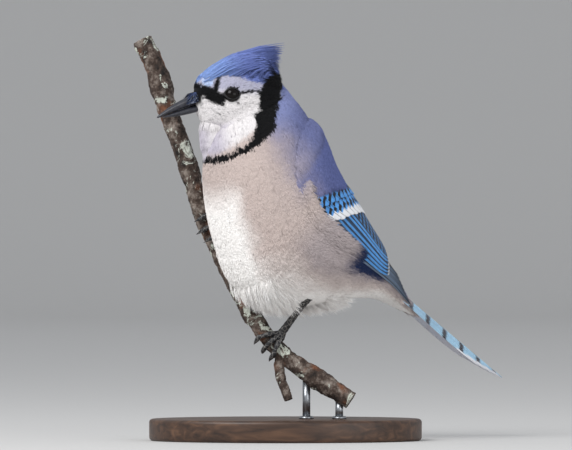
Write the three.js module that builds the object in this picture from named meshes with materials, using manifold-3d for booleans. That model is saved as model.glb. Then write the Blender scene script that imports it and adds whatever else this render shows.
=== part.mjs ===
// A blue jay as a life-size museum model: the bird grips a short cut length of branch,
// which two short rods hold above a flat oval base. Sizes are millimetres, +Z is up, the
// origin is the centre of the base's underside, and +X runs from the bill towards the tail.

import * as THREE from "three";
import { mergeVertices } from "three/addons/utils/BufferGeometryUtils.js";
import Module from "manifold-3d";

const wasm = await Module();
wasm.setup();

// Driving sizes of the bird.
const TAIL_LENGTH = 114;
const EYE_RADIUS = 4.4;
const BILL_LENGTH = 25;
const TOE_RADIUS = 1.45;
const TARSUS_RADIUS = 1.5;
const NODE_GAP = 0.32;

// The body heads left and a little towards the viewer, and the head looks more to the left.
const BODY_TURN = THREE.MathUtils.degToRad(33);
const HEAD_TURN = THREE.MathUtils.degToRad(15);
const BODY_DEPTH = -5;
const HEAD_PLACE = new THREE.Vector3(-23.65, -19, 0);

// A frame for each turned part: forward, left and its origin, all level.
function turnedFrame(turn, origin) {
  return {
    forward: new THREE.Vector3(-Math.cos(turn), -Math.sin(turn), 0),
    left: new THREE.Vector3(Math.sin(turn), -Math.cos(turn), 0),
    origin,
  };
}
const BODY = turnedFrame(BODY_TURN, new THREE.Vector3(0, BODY_DEPTH, 0));
const HEAD = turnedFrame(HEAD_TURN, HEAD_PLACE);

const mix = THREE.MathUtils.lerp;

function inFrame(frame, forward, left, up) {
  return frame.origin
    .clone()
    .addScaledVector(frame.forward, forward)
    .addScaledVector(frame.left, left)
    .add(new THREE.Vector3(0, 0, up));
}

// Stations of the body from the tail coverts to the top of the neck, in the plane that
// parts left from right: [belly forward, belly up], [back forward, back up], half width.
const BODY_STATIONS = [
  [[-85.0, 67.7], [-86.7, 71.0], 4.5],
  [[-73.5, 72.1], [-78.5, 80.3], 8.5],
  [[-59.5, 77.0], [-68.3, 93.5], 14.5],
  [[-43.9, 77.6], [-57.1, 106.7], 21],
  [[-25.6, 75.4], [-47.0, 119.9], 28],
  [[-5.2, 73.7], [-37.7, 133.1], 33.5],
  [[14.1, 75.9], [-28.8, 145.2], 36.5],
  [[29.9, 85.3], [-21.3, 156.2], 37.5],
  [[38.2, 100.7], [-16.4, 166.6], 37],
  [[44.1, 117.7], [-11.6, 175.6], 35],
  [[48.0, 134.2], [-6.9, 183.5], 31],
  [[49.7, 147.4], [-1.3, 190.9], 25.5],
  [[49.2, 159.5], [4.2, 197.2], 20],
  [[44.0, 171.0], [11.6, 202.4], 15],
];
// Stations of the head from the bill's root to the nape: [throat], [crown], half width.
const HEAD_STATIONS = [
  [[26.6, 180.4], [27.0, 193.6], 5.5],
  [[24.0, 176.0], [26.0, 198.6], 8.5],
  [[20.5, 170.8], [21.6, 203.2], 11.5],
  [[14.8, 168.5], [15.9, 207.4], 14.2],
  [[6.9, 166.1], [8.0, 210.9], 16.6],
  [[-2.3, 164.5], [-0.6, 212.8], 17.4],
  [[-10.2, 166.7], [-6.8, 212.6], 16.6],
  [[-16.4, 172.2], [-14.8, 209.2], 13.6],
  [[-19.8, 180.4], [-19.2, 202.0], 8.5],
];

function smoothTable(rows) {
  const curve = (pick) => new THREE.CatmullRomCurve3(rows.map(pick), false, "catmullrom", 0.5);
  return {
    low: curve(([low]) => new THREE.Vector3(low[0], 0, low[1])),
    high: curve(([, high]) => new THREE.Vector3(high[0], 0, high[1])),
    width: curve(([, , half]) => new THREE.Vector3(half, 0, 0)),
  };
}
const bodyTable = smoothTable(BODY_STATIONS);
const headTable = smoothTable(HEAD_STATIONS);

// A point on a lofted form: along runs 0 to 1 through its stations, around is the angle from
// the back (0) over the left side (90 degrees) to the belly, and lift stands off the surface.
function loftPoint(table, frame, along, around, lift = 0) {
  const low = table.low.getPoint(along);
  const high = table.high.getPoint(along);
  const half = table.width.getPoint(along).x;
  const up = high.clone().sub(low).multiplyScalar(0.5);
  const centre = high.clone().add(low).multiplyScalar(0.5);
  const tall = up.length() + lift;
  const rise = up.normalize().multiplyScalar(Math.cos(around) * tall);
  const side = Math.sin(around) * (half + lift);
  return inFrame(frame, centre.x + rise.x, side, centre.z + rise.z);
}
const bodyPoint = (along, around, lift) => loftPoint(bodyTable, BODY, along, around, lift);
const headPoint = (along, around, lift) => loftPoint(headTable, HEAD, along, around, lift);

// Closed solids

function closedGeometry(geometry) {
  const bare = geometry.clone();
  for (const name of ["normal", "uv"]) bare.deleteAttribute(name);
  return mergeVertices(bare, 1e-4);
}

function signedVolume(points, faces) {
  const at = (i) => new THREE.Vector3(points[3 * i], points[3 * i + 1], points[3 * i + 2]);
  let sum = 0;
  for (let f = 0; f < faces.length; f += 3) {
    sum += at(faces[f]).dot(at(faces[f + 1]).cross(at(faces[f + 2])));
  }
  return sum / 6;
}

function solidFrom(geometry) {
  const merged = closedGeometry(geometry);
  const points = merged.attributes.position.array;
  const faces = new Uint32Array(merged.index.array);
  if (signedVolume(points, faces) < 0) {
    for (let f = 0; f < faces.length; f += 3) {
      [faces[f + 1], faces[f + 2]] = [faces[f + 2], faces[f + 1]];
    }
  }
  const mesh = new wasm.Mesh({ numProp: 3, vertProperties: new Float32Array(points), triVerts: faces });
  return new wasm.Manifold(mesh);
}

const joined = (solids) => solids.reduce((all, next) => all.add(next));

// The largest closed piece, without the sliver triangles that unions leave.
const SLIVER = 0.05;
function largestPiece(solid) {
  return solid.simplify(SLIVER).decompose().reduce((best, next) => (next.volume() > best.volume() ? next : best));
}

// A sphere whose rows and columns are laid over a surface; its poles close the two ends.
function mappedSphere(around, along, place) {
  const ball = new THREE.SphereGeometry(1, around, along);
  const { position, uv } = ball.attributes;
  for (let i = 0; i < position.count; i++) {
    const pole = position.getX(i) ** 2 + position.getZ(i) ** 2 < 1e-8;
    const spot = place(1 - uv.getY(i), pole ? 0 : uv.getX(i) * 2 * Math.PI, pole);
    position.setXYZ(i, spot.x, spot.y, spot.z);
  }
  return solidFrom(ball);
}

function loftSolid(table, frame, around, along, lift = 0) {
  const END = 1 / along;
  const middle = (t) => loftPoint(table, frame, t, 0).add(loftPoint(table, frame, t, Math.PI)).multiplyScalar(0.5);
  const rearward = middle(0).sub(middle(0.04)).normalize().multiplyScalar(lift);
  return mappedSphere(around, along, (share, angle, pole) => {
    const t = THREE.MathUtils.clamp((share - END) / (1 - 2 * END), 0, 1);
    const spot = pole ? middle(t) : loftPoint(table, frame, t, angle, lift);
    return t === 0 ? spot.add(rearward) : spot;
  });
}

// A round solid along a curve, with radiusAt(share) as its radius and pointed or blunt ends.
function tubeSolid(points, radiusAt, around, along, squash = 1) {
  const curve = new THREE.CatmullRomCurve3(points, false, "catmullrom", 0.5);
  const frames = curve.computeFrenetFrames(along, false);
  const END = 1 / along;
  return mappedSphere(around, along, (share, angle, pole) => {
    const t = THREE.MathUtils.clamp((share - END) / (1 - 2 * END), 0, 1);
    const k = Math.round(t * along);
    const spot = curve.getPointAt(t);
    if (pole) return spot;
    return spot
      .addScaledVector(frames.normals[k], Math.cos(angle) * radiusAt(t))
      .addScaledVector(frames.binormals[k], Math.sin(angle) * radiusAt(t) * squash);
  });
}

// A thin curved blade, split into the same triangles above and below. spot(share, across)
// gives its middle surface, thick(share) its thickness, and shares the places of its rows.
function bladeSolid(spot, thick, shares, strips = 2) {
  const steps = shares.length - 1;
  const sheet = new THREE.PlaneGeometry(1, 1, strips, steps);
  const uv = sheet.attributes.uv;
  const count = uv.count;
  const points = new Float32Array(count * 6);
  const NUDGE = 0.02;
  for (let i = 0; i < count; i++) {
    const share = shares[Math.round((1 - uv.getY(i)) * steps)];
    const across = uv.getX(i) * 2 - 1;
    const here = spot(share, across);
    const onward = spot(Math.min(share + NUDGE, 1), across).sub(spot(Math.max(share - NUDGE, 0), across));
    const sideways = spot(share, Math.min(across + NUDGE, 1)).sub(spot(share, Math.max(across - NUDGE, -1)));
    const normal = onward.cross(sideways).normalize().multiplyScalar(thick(share) / 2);
    here.clone().add(normal).toArray(points, 3 * i);
    here.clone().sub(normal).toArray(points, 3 * (i + count));
  }
  const top = [...sheet.index.array];
  const faces = [...top];
  for (let f = 0; f < top.length; f += 3) {
    faces.push(top[f] + count, top[f + 2] + count, top[f + 1] + count);
  }
  const row = strips + 1;
  const rim = [];
  for (let i = 0; i < strips; i++) rim.push(i);
  for (let j = 0; j < steps; j++) rim.push(j * row + strips);
  for (let i = strips; i > 0; i--) rim.push(steps * row + i);
  for (let j = steps; j > 0; j--) rim.push(j * row);
  rim.forEach((a, k) => {
    const b = rim[(k + 1) % rim.length];
    faces.push(a, b, a + count, b, b + count, a + count);
  });
  const blade = new THREE.BufferGeometry();
  blade.setAttribute("position", new THREE.BufferAttribute(points, 3));
  blade.setIndex(faces);
  return solidFrom(blade);
}

// How wide a feather is along its length: full from near its root, rounded or pointed at its tip.
const roundTip = (share) => Math.sqrt(1 - Math.max(0, (share - 0.72) / 0.285) ** 2);
const lockTip = (share) => 1 - Math.max(0, (share - 0.45) / 0.62) ** 2;
const FEATHER_ROWS = [0, 0.55, 0.88, 1];
const QUILL_ROWS = [0, 0.45, 0.8, 1];
const BRISTLE_ROWS = [0, 0.5, 1];
const pointTip = (share) => 1 - Math.max(0, (share - 0.35) / 0.72) ** 1.6;

// The torso, neck and head are one skin, parted by thin level or tilted cuts.
const torsoForm = loftSolid(bodyTable, BODY, 32, 28);
const torsoClearance = loftSolid(bodyTable, BODY, 32, 28, NODE_GAP);
const headForm = loftSolid(headTable, HEAD, 26, 15);

function slab(centre, normal, thickness) {
  const REACH = 200;
  const plate = new THREE.BoxGeometry(REACH, REACH, thickness);
  plate.applyQuaternion(new THREE.Quaternion().setFromUnitVectors(new THREE.Vector3(0, 0, 1), normal.clone().normalize()));
  plate.translate(centre.x, centre.y, centre.z);
  return solidFrom(plate);
}
// The block on the far side of a cut, so that what is kept ends half a gap before it.
function blockBeyond(centre, normal) {
  const REACH = 200;
  const block = new THREE.BoxGeometry(REACH, REACH, REACH);
  const way = normal.clone().normalize();
  block.applyQuaternion(new THREE.Quaternion().setFromUnitVectors(new THREE.Vector3(0, 0, 1), way));
  const middle = centre.clone().addScaledVector(way, REACH / 2);
  block.translate(middle.x, middle.y, middle.z);
  return solidFrom(block);
}
function cutAt(station) {
  const back = bodyPoint(station, 0);
  const belly = bodyPoint(station, Math.PI);
  const left = BODY.left.clone();
  const normal = back.clone().sub(belly).cross(left).normalize();
  if (normal.dot(BODY.forward) < 0) normal.negate();
  return { centre: back.add(belly).multiplyScalar(0.5), normal };
}
const NECK_TOP = 0.93;
const NECK_BASE = 0.8;
const neckTopCut = cutAt(NECK_TOP);
const neckBaseCut = cutAt(NECK_BASE);
const shift = (cut, by) => cut.centre.clone().addScaledVector(cut.normal, by);

const HALF_GAP = NODE_GAP / 2;
let torso = torsoForm.subtract(blockBeyond(shift(neckBaseCut, -HALF_GAP), neckBaseCut.normal));
const neckToHead = torsoForm.subtract(blockBeyond(shift(neckBaseCut, HALF_GAP), neckBaseCut.normal.clone().negate()));
const neckOnly = neckToHead.subtract(blockBeyond(shift(neckTopCut, -HALF_GAP), neckTopCut.normal));

// The crest: tapered, overlapping feathers in rows from the forehead to the crown. Each runs
// back from its root on the crown to a tip on the steep rear edge of the crest.
const CREST_ROWS = [
  { root: 0.3, count: 3, spread: 0.55, tip: [-25.5, 216.8], fan: 1.2, width: 6.0 },
  { root: 0.42, count: 3, spread: 0.8, tip: [-24.0, 213.0], fan: 2.4, width: 5.6 },
  { root: 0.52, count: 4, spread: 1.05, tip: [-22.6, 208.6], fan: 4.0, width: 5.6 },
  { root: 0.62, count: 4, spread: 1.25, tip: [-22.0, 203.4], fan: 5.6, width: 5.4 },
];
function crestSolids() {
  const solids = [];
  for (const row of CREST_ROWS) {
    for (let i = 0; i < row.count; i++) {
      const place = row.count > 1 ? (2 * i) / (row.count - 1) - 1 : 0;
      const sink = 1.6;
      const root = headPoint(row.root, place * row.spread * 0.6, -sink);
      const middle = headPoint(row.root + 0.2, place * row.spread * 0.75, 0.9);
      const drop = 3.2 * Math.abs(place);
      const tip = inFrame(HEAD, row.tip[0] + 1.5 * Math.abs(place), place * row.fan, row.tip[1] - drop);
      const curve = new THREE.QuadraticBezierCurve3(root, middle.multiplyScalar(2).sub(root.clone().add(tip).multiplyScalar(0.5)), tip);
      const side = new THREE.Vector3().crossVectors(tip.clone().sub(root), new THREE.Vector3(0, 0, 1)).normalize();
      const lean = place * 2.1;
      solids.push(
        bladeSolid(
          (share, across) =>
            curve
              .getPoint(share)
              .addScaledVector(side, across * 0.5 * row.width * lockTip(share))
              .add(new THREE.Vector3(0, 0, across * lean * 0.2)),
          (share) => mix(1.9, 0.8, share),
          QUILL_ROWS,
          1,
        ),
      );
    }
  }
  return solids;
}

// The bill: two mandibles that meet along the line of the mouth.
const BILL_ROOT = inFrame(HEAD, 24.5, 0, 184.9);
const BILL_TIP = inFrame(HEAD, 47.3, 0, 177.6);
const billWay = BILL_TIP.clone().sub(BILL_ROOT).normalize();
const billUp = new THREE.Vector3().crossVectors(HEAD.left, billWay).normalize();
if (billUp.z < 0) billUp.negate();
// A mandible's heights above and below the mouth line and its half widths, from root to tip.
const MOUTH = 0.15;
const UPPER = {
  top: (s) => MOUTH + 5.6 * (1 - s ** 2.1) + 0.05,
  bottom: (s) => MOUTH - 0.9 * s ** 3,
  half: (s) => 4.3 * (1 - s) ** 0.75 + 0.3,
  length: BILL_LENGTH + 3,
};
const LOWER = {
  top: (s) => -MOUTH,
  bottom: (s) => -MOUTH - 3.9 * (1 - s ** 2.4) - 0.1,
  half: (s) => 3.9 * (1 - s) ** 0.7 + 0.2,
  length: BILL_LENGTH - 0.5,
};
// Above the lower mandible, what the hooked upper one and the gap take up.
const BITE = {
  top: () => 6,
  bottom: (s) => -0.17 - 0.9 * s ** 3,
  half: () => 6,
  length: BILL_LENGTH + 4,
};
function mandible(form, grow = 0) {
  return mappedSphere(12, 9, (share, angle, pole) => {
    const reach = mix(-3 - grow, form.length - 3 + grow, share);
    const up = form.top(share) + grow;
    const down = form.bottom(share) - grow;
    const spot = BILL_ROOT.clone()
      .addScaledVector(billWay, reach)
      .addScaledVector(billUp, (up + down) / 2);
    if (pole) return spot;
    return spot
      .addScaledVector(billUp, (Math.cos(angle) * (up - down)) / 2)
      .addScaledVector(HEAD.left, Math.sin(angle) * (form.half(share) + 1.2 * grow));
  });
}
const billUpper = mandible(UPPER);
const billLower = mandible(LOWER).subtract(mandible(BITE));

// The bristle feathers that cover the nostrils, two fans of small pointed blades.
function nostrilBristles(side) {
  const COUNT = 3;
  return Array.from({ length: COUNT }, (_, i) => {
    const lift = mix(5.2, 1.6, i / (COUNT - 1));
    const root = BILL_ROOT.clone().addScaledVector(billWay, -2.5).addScaledVector(billUp, lift * 1.1 + 0.8).addScaledVector(HEAD.left, side * 4.2);
    const tip = BILL_ROOT.clone().addScaledVector(billWay, 7.5 - i * 0.4).addScaledVector(billUp, lift * 0.85).addScaledVector(HEAD.left, side * (3.5 - 0.1 * i));
    const outward = HEAD.left.clone().multiplyScalar(side);
    return bladeSolid(
      (share, across) =>
        root
          .clone()
          .lerp(tip, share)
          .addScaledVector(outward, 1.5 * Math.sin(Math.PI * share))
          .addScaledVector(billUp, across * 1.0 * pointTip(share)),
      (share) => mix(1.5, 0.55, share),
      BRISTLE_ROWS,
      1,
    );
  });
}

// Eyes sit in sockets, each in a ring of lids that grows from the head.
function eyeParts(side) {
  const centre = inFrame(HEAD, 9.3, side * 12.9, 189.6);
  const ball = new THREE.SphereGeometry(EYE_RADIUS, 16, 11).translate(centre.x, centre.y, centre.z);
  const socket = new THREE.SphereGeometry(EYE_RADIUS + NODE_GAP, 16, 11).translate(centre.x, centre.y, centre.z);
  const outward = HEAD.left.clone().multiplyScalar(side).addScaledVector(HEAD.forward, 0.12).normalize();
  const LID_RING = 4.1;
  const LID_THICK = 1.1;
  const ring = new THREE.TorusGeometry(LID_RING, LID_THICK, 6, 16);
  ring.applyQuaternion(new THREE.Quaternion().setFromUnitVectors(new THREE.Vector3(0, 0, 1), outward));
  const seat = centre.clone().addScaledVector(outward, 2.1);
  ring.translate(seat.x, seat.y, seat.z);
  return { ball: solidFrom(ball), socket: solidFrom(socket), lids: solidFrom(ring) };
}
const leftEye = eyeParts(1);
const rightEye = eyeParts(-1);

const neckInHead = torsoForm.subtract(blockBeyond(shift(neckTopCut, HALF_GAP), neckTopCut.normal.clone().negate()));
const headRaw = joined([headForm.subtract(neckOnlyClearance()), neckInHead, leftEye.lids, rightEye.lids, ...crestSolids()]);
// What the neck fills below its cut is taken out of the head, with the gap.
function neckOnlyClearance() {
  const grown = loftSolid(bodyTable, BODY, 32, 28, NODE_GAP);
  return grown.subtract(blockBeyond(shift(neckTopCut, HALF_GAP), neckTopCut.normal));
}
const bristles = joined([...nostrilBristles(1), ...nostrilBristles(-1)]);
const billSeat = mandible(UPPER, NODE_GAP).add(mandible(LOWER, NODE_GAP));
const head = largestPiece(
  joined([headRaw, bristles])
    .subtract(leftEye.socket)
    .subtract(rightEye.socket)
    .subtract(billSeat),
);

// Wings. A feather lies on the body from a root to a tip, each given as [along, around in
// degrees], at a height that rises from its root to its tip.
const degrees = THREE.MathUtils.degToRad;
function wingFeather(side, root, tip, width, rootLift, tipLift, shape, options = {}) {
  const { bow = 0, thick = 0.8, roll = 0.35 } = options;
  const way = (share, across) => {
    const along = mix(root[0], tip[0], share);
    const bend = bow * Math.sin(Math.PI * share);
    const around = side * degrees(mix(root[1], tip[1], share) + bend);
    const lift = mix(rootLift, tipLift, share) + across * roll;
    const spot = bodyPoint(along, around, lift);
    const aside = bodyPoint(along, around + side * 0.05, lift).sub(bodyPoint(along, around - side * 0.05, lift)).normalize();
    return spot.addScaledVector(aside, across * 0.5 * width * shape(share));
  };
  return bladeSolid(way, () => thick, FEATHER_ROWS, 1);
}
// A row of feathers whose places run evenly between its first and its last.
function featherRow(side, count, first, last, options) {
  return Array.from({ length: count }, (_, i) => {
    const k = i / (count - 1);
    const between = (key) => [mix(first[key][0], last[key][0], k), mix(first[key][1], last[key][1], k)];
    const lift = mix(first.lift, last.lift, k);
    return wingFeather(side, between("root"), between("tip"), mix(first.width, last.width, k), lift - 0.9, lift, options.shape, options);
  });
}
const WING_ROWS = [
  {
    name: "primaries",
    count: 5,
    first: { root: [0.5, 84], tip: [0.075, 94], width: 7, lift: 0.9 },
    last: { root: [0.48, 72], tip: [0.15, 70], width: 8, lift: 1.7 },
    options: { shape: pointTip, roll: 0.3, bow: -3 },
  },
  {
    name: "secondaries",
    count: 6,
    first: { root: [0.48, 78], tip: [0.21, 84], width: 9, lift: 1.9 },
    last: { root: [0.5, 36], tip: [0.24, 34], width: 12, lift: 3.0 },
    options: { shape: roundTip, roll: 0.35 },
  },
  {
    name: "greater coverts",
    count: 6,
    first: { root: [0.6, 86], tip: [0.46, 79], width: 9, lift: 2.9 },
    last: { root: [0.55, 36], tip: [0.385, 32], width: 10.5, lift: 3.6 },
    options: { shape: roundTip, roll: 0.3 },
  },
  {
    name: "median coverts",
    count: 5,
    first: { root: [0.68, 84], tip: [0.57, 80], width: 10, lift: 3.5 },
    last: { root: [0.62, 38], tip: [0.5, 34], width: 11, lift: 4.1 },
    options: { shape: roundTip, roll: 0.3 },
  },
];
// The shoulder: a smooth pad of small coverts under which the rows take root.
function shoulderPad(side) {
  const MIDDLE = [0.62, 60];
  const HALF_ALONG = 0.13;
  const HALF_AROUND = 29;
  return mappedSphere(16, 8, (share, angle, pole) => {
    const out = Math.sin(share * Math.PI);
    const height = Math.cos(share * Math.PI);
    const along = MIDDLE[0] + HALF_ALONG * out * Math.cos(angle);
    const around = side * degrees(MIDDLE[1] + HALF_AROUND * out * Math.sin(angle));
    if (pole) return bodyPoint(MIDDLE[0], side * degrees(MIDDLE[1]), height > 0 ? 4.2 : -0.4);
    return bodyPoint(along, around, height > 0 ? 4.2 * height ** 0.6 : 0.4 * height);
  });
}
function wingSolid(side) {
  const feathers = WING_ROWS.flatMap((row) => featherRow(side, row.count, row.first, row.last, row.options));
  return largestPiece(joined([shoulderPad(side), ...feathers]).subtract(torsoClearance).subtract(tailClearance()));
}

// The tail: twelve feathers in a shallow arch, the middle pair on top and the longest.
const TAIL_ROOT = inFrame(BODY, -50, 0, 99);
const TAIL_TIP = inFrame(BODY, -142.6, 0, 34.3);
const tailWay = TAIL_TIP.clone().sub(TAIL_ROOT).normalize();
const tailLevel = new THREE.Vector3().crossVectors(tailWay, BODY.left).normalize();
if (tailLevel.z < 0) tailLevel.negate();
// The tail is turned a little about its length, its left edge down.
const TAIL_ROLL = THREE.MathUtils.degToRad(-15);
const tailUp = tailLevel.clone().multiplyScalar(Math.cos(TAIL_ROLL)).addScaledVector(BODY.left, -Math.sin(TAIL_ROLL));
const tailSide = BODY.left.clone().multiplyScalar(Math.cos(TAIL_ROLL)).addScaledVector(tailLevel, Math.sin(TAIL_ROLL));
const TAIL_ARCH = 0.02;
function tailFeather(side, rank) {
  const LAYER = 0.45;
  const length = TAIL_LENGTH - 1.2 * rank - 0.5 * rank ** 2;
  const middleRoot = side * (0.8 + 0.55 * rank);
  const middleTip = side * (1.4 + 1.15 * rank);
  const half = 5.4;
  return bladeSolid(
    (share, across) => {
      const aside = mix(middleRoot, middleTip, share) + across * mix(3.2, half, Math.min(1, share * 2.2)) * roundTip(share);
      const drop = TAIL_ARCH * aside * aside * Math.min(1, 0.35 + share) + LAYER * rank + (side < 0 ? 0.22 : 0);
      return TAIL_ROOT.clone()
        .addScaledVector(tailWay, share * length)
        .addScaledVector(tailSide, aside)
        .addScaledVector(tailUp, -drop);
    },
    () => 0.72,
    [0, 0.3, 0.6, 0.85, 0.95, 1],
    2,
  );
}
// A root block inside the coverts joins the feathers at their quills.
function tailRoot() {
  return tubeSolid(
    [TAIL_ROOT, TAIL_ROOT.clone().addScaledVector(tailWay, 22)].map((p) => p.clone().addScaledVector(tailUp, -1.6)),
    () => 3.6,
    10,
    5,
  );
}
const tailFeathers = joined([5, 4, 3, 2, 1, 0].flatMap((rank) => [tailFeather(1, rank), tailFeather(-1, rank)]));
const tail = largestPiece(joined([tailRoot(), tailFeathers]).subtract(torsoClearance));

// The space the tail takes up, with the gap, that the wing tips stay out of.
function tailClearance() {
  const HALF = 22;
  const THICK = 5.2;
  return bladeSolid(
    (share, across) =>
      TAIL_ROOT.clone()
        .addScaledVector(tailWay, share * TAIL_LENGTH * 0.7)
        .addScaledVector(tailSide, across * HALF)
        .addScaledVector(tailUp, -TAIL_ARCH * (across * HALF) ** 2 * Math.min(1, 0.35 + share * 0.7) - THICK / 2 + 0.8),
    () => THICK,
    [0, 0.25, 0.5, 0.75, 1],
    6,
  );
}

// The perch: a cut branch with a broken side shoot. [x, depth, height, radius]
const BRANCH = [
  [-79.8, 40, 221.1, 5.9],
  [-72.1, 38, 205.7, 5.8],
  [-65.5, 35, 182.6, 5.7],
  [-56.9, 32, 160.1, 5.5],
  [-51.2, 29, 141.9, 5.2],
  [-45.1, 25, 121.0, 5.0],
  [-39.6, 23, 110.0, 4.9],
  [-35.8, 21, 101.2, 4.8],
  [-31.4, 18, 92.4, 4.8],
  [-25.9, 13, 81.4, 4.8],
  [-20.9, 8, 73.2, 4.8],
  [-16.0, 4, 65.5, 4.8],
  [-9.4, 0, 56.1, 4.9],
  [0.6, -3, 45.7, 5.0],
  [9.9, -5, 39.1, 5.1],
  [19.0, -6, 33.0, 5.2],
  [27.5, -7, 27.5, 5.2],
  [35.8, -8, 22.0, 5.1],
];
const branchPoints = BRANCH.map(([x, y, z]) => new THREE.Vector3(x, y, z));
const branchCurve = new THREE.CatmullRomCurve3(branchPoints, false, "catmullrom", 0.5);
function branchRadius(share) {
  const place = THREE.MathUtils.clamp(share, 0, 1) * (BRANCH.length - 1);
  const low = Math.min(Math.floor(place), BRANCH.length - 2);
  return mix(BRANCH[low][3], BRANCH[low + 1][3], place - low);
}
// The share of the branch's length at the point nearest to a height.
function branchShareAt(height) {
  let best = 0;
  const STEPS = 400;
  for (let i = 0; i <= STEPS; i++) {
    const nearer = Math.abs(branchCurve.getPointAt(i / STEPS).z - height);
    if (nearer < Math.abs(branchCurve.getPointAt(best).z - height)) best = i / STEPS;
  }
  return best;
}
// Knots swell the branch at a few places: [height, how far they stand out, reach].
const KNOTS = [[196, 1.2, 6], [148, 0.7, 5], [70, 0.9, 5], [34, 1.0, 5]];
function branchSolid(extra = 0) {
  const radiusAt = (share) => {
    const height = branchCurve.getPointAt(share).z;
    const swell = KNOTS.reduce((sum, [at, out, reach]) => sum + out * Math.exp(-(((height - at) / reach) ** 2)), 0);
    return branchRadius(share) + swell + extra;
  };
  return tubeSolid(branchPoints, radiusAt, 12, 34);
}
const SHOOT = [[-2, -3, 47], [-3.5, -5, 41], [-2.5, -6.5, 34.5], [-0.2, -8, 28], [1.8, -9, 22.5]];
function shootSolid(extra = 0) {
  const line = SHOOT.map((p) => new THREE.Vector3(...p));
  return tubeSolid(line, (share) => mix(3.3, 2.5, share) + extra, 8, 7);
}
const branch = branchSolid().add(shootSolid());
const branchClearance = branchSolid(NODE_GAP).add(shootSolid(NODE_GAP));

// Legs and feet. A foot sits on the branch at a height; its toes curl round the branch.
function footFrame(height) {
  const share = branchShareAt(height);
  return { centre: branchCurve.getPointAt(share), axis: branchCurve.getTangentAt(share), radius: branchRadius(share) };
}
function footParts(height, ankle, frontWay) {
  const { centre, axis, radius } = footFrame(height);
  const up = ankle.clone().sub(centre);
  up.addScaledVector(axis, -up.dot(axis)).normalize();
  const front = frontWay.clone().addScaledVector(axis, -frontWay.dot(axis));
  front.addScaledVector(up, -front.dot(up)).normalize();
  const arm = radius + TOE_RADIUS + NODE_GAP + 0.55;
  const onRing = (angle, reach, shift) =>
    centre
      .clone()
      .addScaledVector(up, Math.cos(angle) * reach)
      .addScaledVector(front, Math.sin(angle) * reach)
      .addScaledVector(axis, shift);
  const hub = centre.clone().addScaledVector(up, arm + 0.3);
  // Each toe: its side shift at root and tip, the sweep of its pads, and which way it curls.
  const TOES = [
    { from: -0.8, to: -6.2, sweep: 2.5, way: 1 },
    { from: 0, to: 0.2, sweep: 2.9, way: 1 },
    { from: 0.8, to: 6.4, sweep: 2.6, way: 1 },
    { from: 0, to: 0.6, sweep: 1.75, way: -1 },
  ];
  const toes = TOES.map(({ from, to, sweep, way }) => {
    const JOINTS = 8;
    const line = Array.from({ length: JOINTS + 1 }, (_, i) => {
      const share = i / JOINTS;
      const claw = Math.max(0, share - 0.8) / 0.2;
      return onRing(way * sweep * share, arm + 0.9 * claw, mix(from, to, Math.min(1, share * 1.6)));
    });
    const pads = (share) => 1 + 0.14 * Math.cos(share * Math.PI * 6);
    const radiusAt = (share) => (share < 0.78 ? TOE_RADIUS * pads(share) * mix(1.05, 0.85, share) : TOE_RADIUS * 0.85 * Math.max(0.14, 1 - (share - 0.78) / 0.25));
    return tubeSolid(line, radiusAt, 7, 11);
  });
  const palm = tubeSolid([hub.clone().addScaledVector(front, -2.2), hub, hub.clone().addScaledVector(front, 2.2)], () => 2.2, 8, 5);
  const shinRadius = (share) => TARSUS_RADIUS * (1 + 0.35 * (1 - share) ** 3 + 0.5 * share ** 6);
  const shinCut = hub.clone().lerp(ankle, 0.14);
  const shinLine = [hub.clone().lerp(ankle, 0.02), hub.clone().lerp(ankle, 0.5), ankle];
  const shin = tubeSolid(shinLine, shinRadius, 10, 8, 0.8);
  const clearLine = [shinLine[0], shinLine[1], ankle.clone().lerp(hub, -0.012)];
  const clearance = tubeSolid(clearLine, (share) => shinRadius(share) + NODE_GAP, 10, 8, 0.85);
  const shinWay = ankle.clone().sub(hub).normalize();
  const foot = joined([palm, ...toes, shin]).subtract(blockBeyond(shinCut.clone().addScaledVector(shinWay, -HALF_GAP), shinWay));
  const leg = shin.subtract(blockBeyond(shinCut.clone().addScaledVector(shinWay, HALF_GAP), shinWay.clone().negate()));
  return { foot: largestPiece(foot.subtract(branchClearance)), leg, clearance };
}
const LEFT_ANKLE = new THREE.Vector3(12.4, -16, 79);
const RIGHT_ANKLE = new THREE.Vector3(-17.5, 24, 97);
const leftLimb = footParts(53.5, LEFT_ANKLE, new THREE.Vector3(-1, -0.6, -0.2));
const rightLimb = footParts(116, RIGHT_ANKLE, new THREE.Vector3(-0.6, -1, 0.3));
// The thigh feathering that each shin comes out of, part of the torso.
function thigh(ankle, root) {
  return tubeSolid([root, root.clone().lerp(ankle, 0.6), ankle.clone().lerp(root, 0.12)], (share) => mix(9, 2.6, share ** 0.8), 12, 7);
}
const thighs = [
  thigh(LEFT_ANKLE, new THREE.Vector3(14, -10, 96)),
  thigh(RIGHT_ANKLE, new THREE.Vector3(-4, 14, 104)),
];
// Stand: an oval base with an eased rim, and two rods up to the branch.
const BASE_LENGTH = 150;
const BASE_WIDTH = 104;
const BASE_THICK = 12;
const BASE_EASE = 2;
const ROD_RADIUS = 2.2;
const ROD_SPOTS = [11.5, 29.5];
const baseProfile = [
  [0, 0],
  [1 - BASE_EASE / 75, 0],
  [1, BASE_EASE],
  [1, BASE_THICK - BASE_EASE],
  [1 - BASE_EASE / 75, BASE_THICK],
  [0, BASE_THICK],
].map(([r, z]) => new THREE.Vector2(r, z));
const baseForm = new THREE.LatheGeometry(baseProfile, 48)
  .rotateX(Math.PI / 2)
  .scale(BASE_LENGTH / 2, BASE_WIDTH / 2, 1);
const baseSolid = solidFrom(baseForm);
const base = baseSolid;

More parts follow.
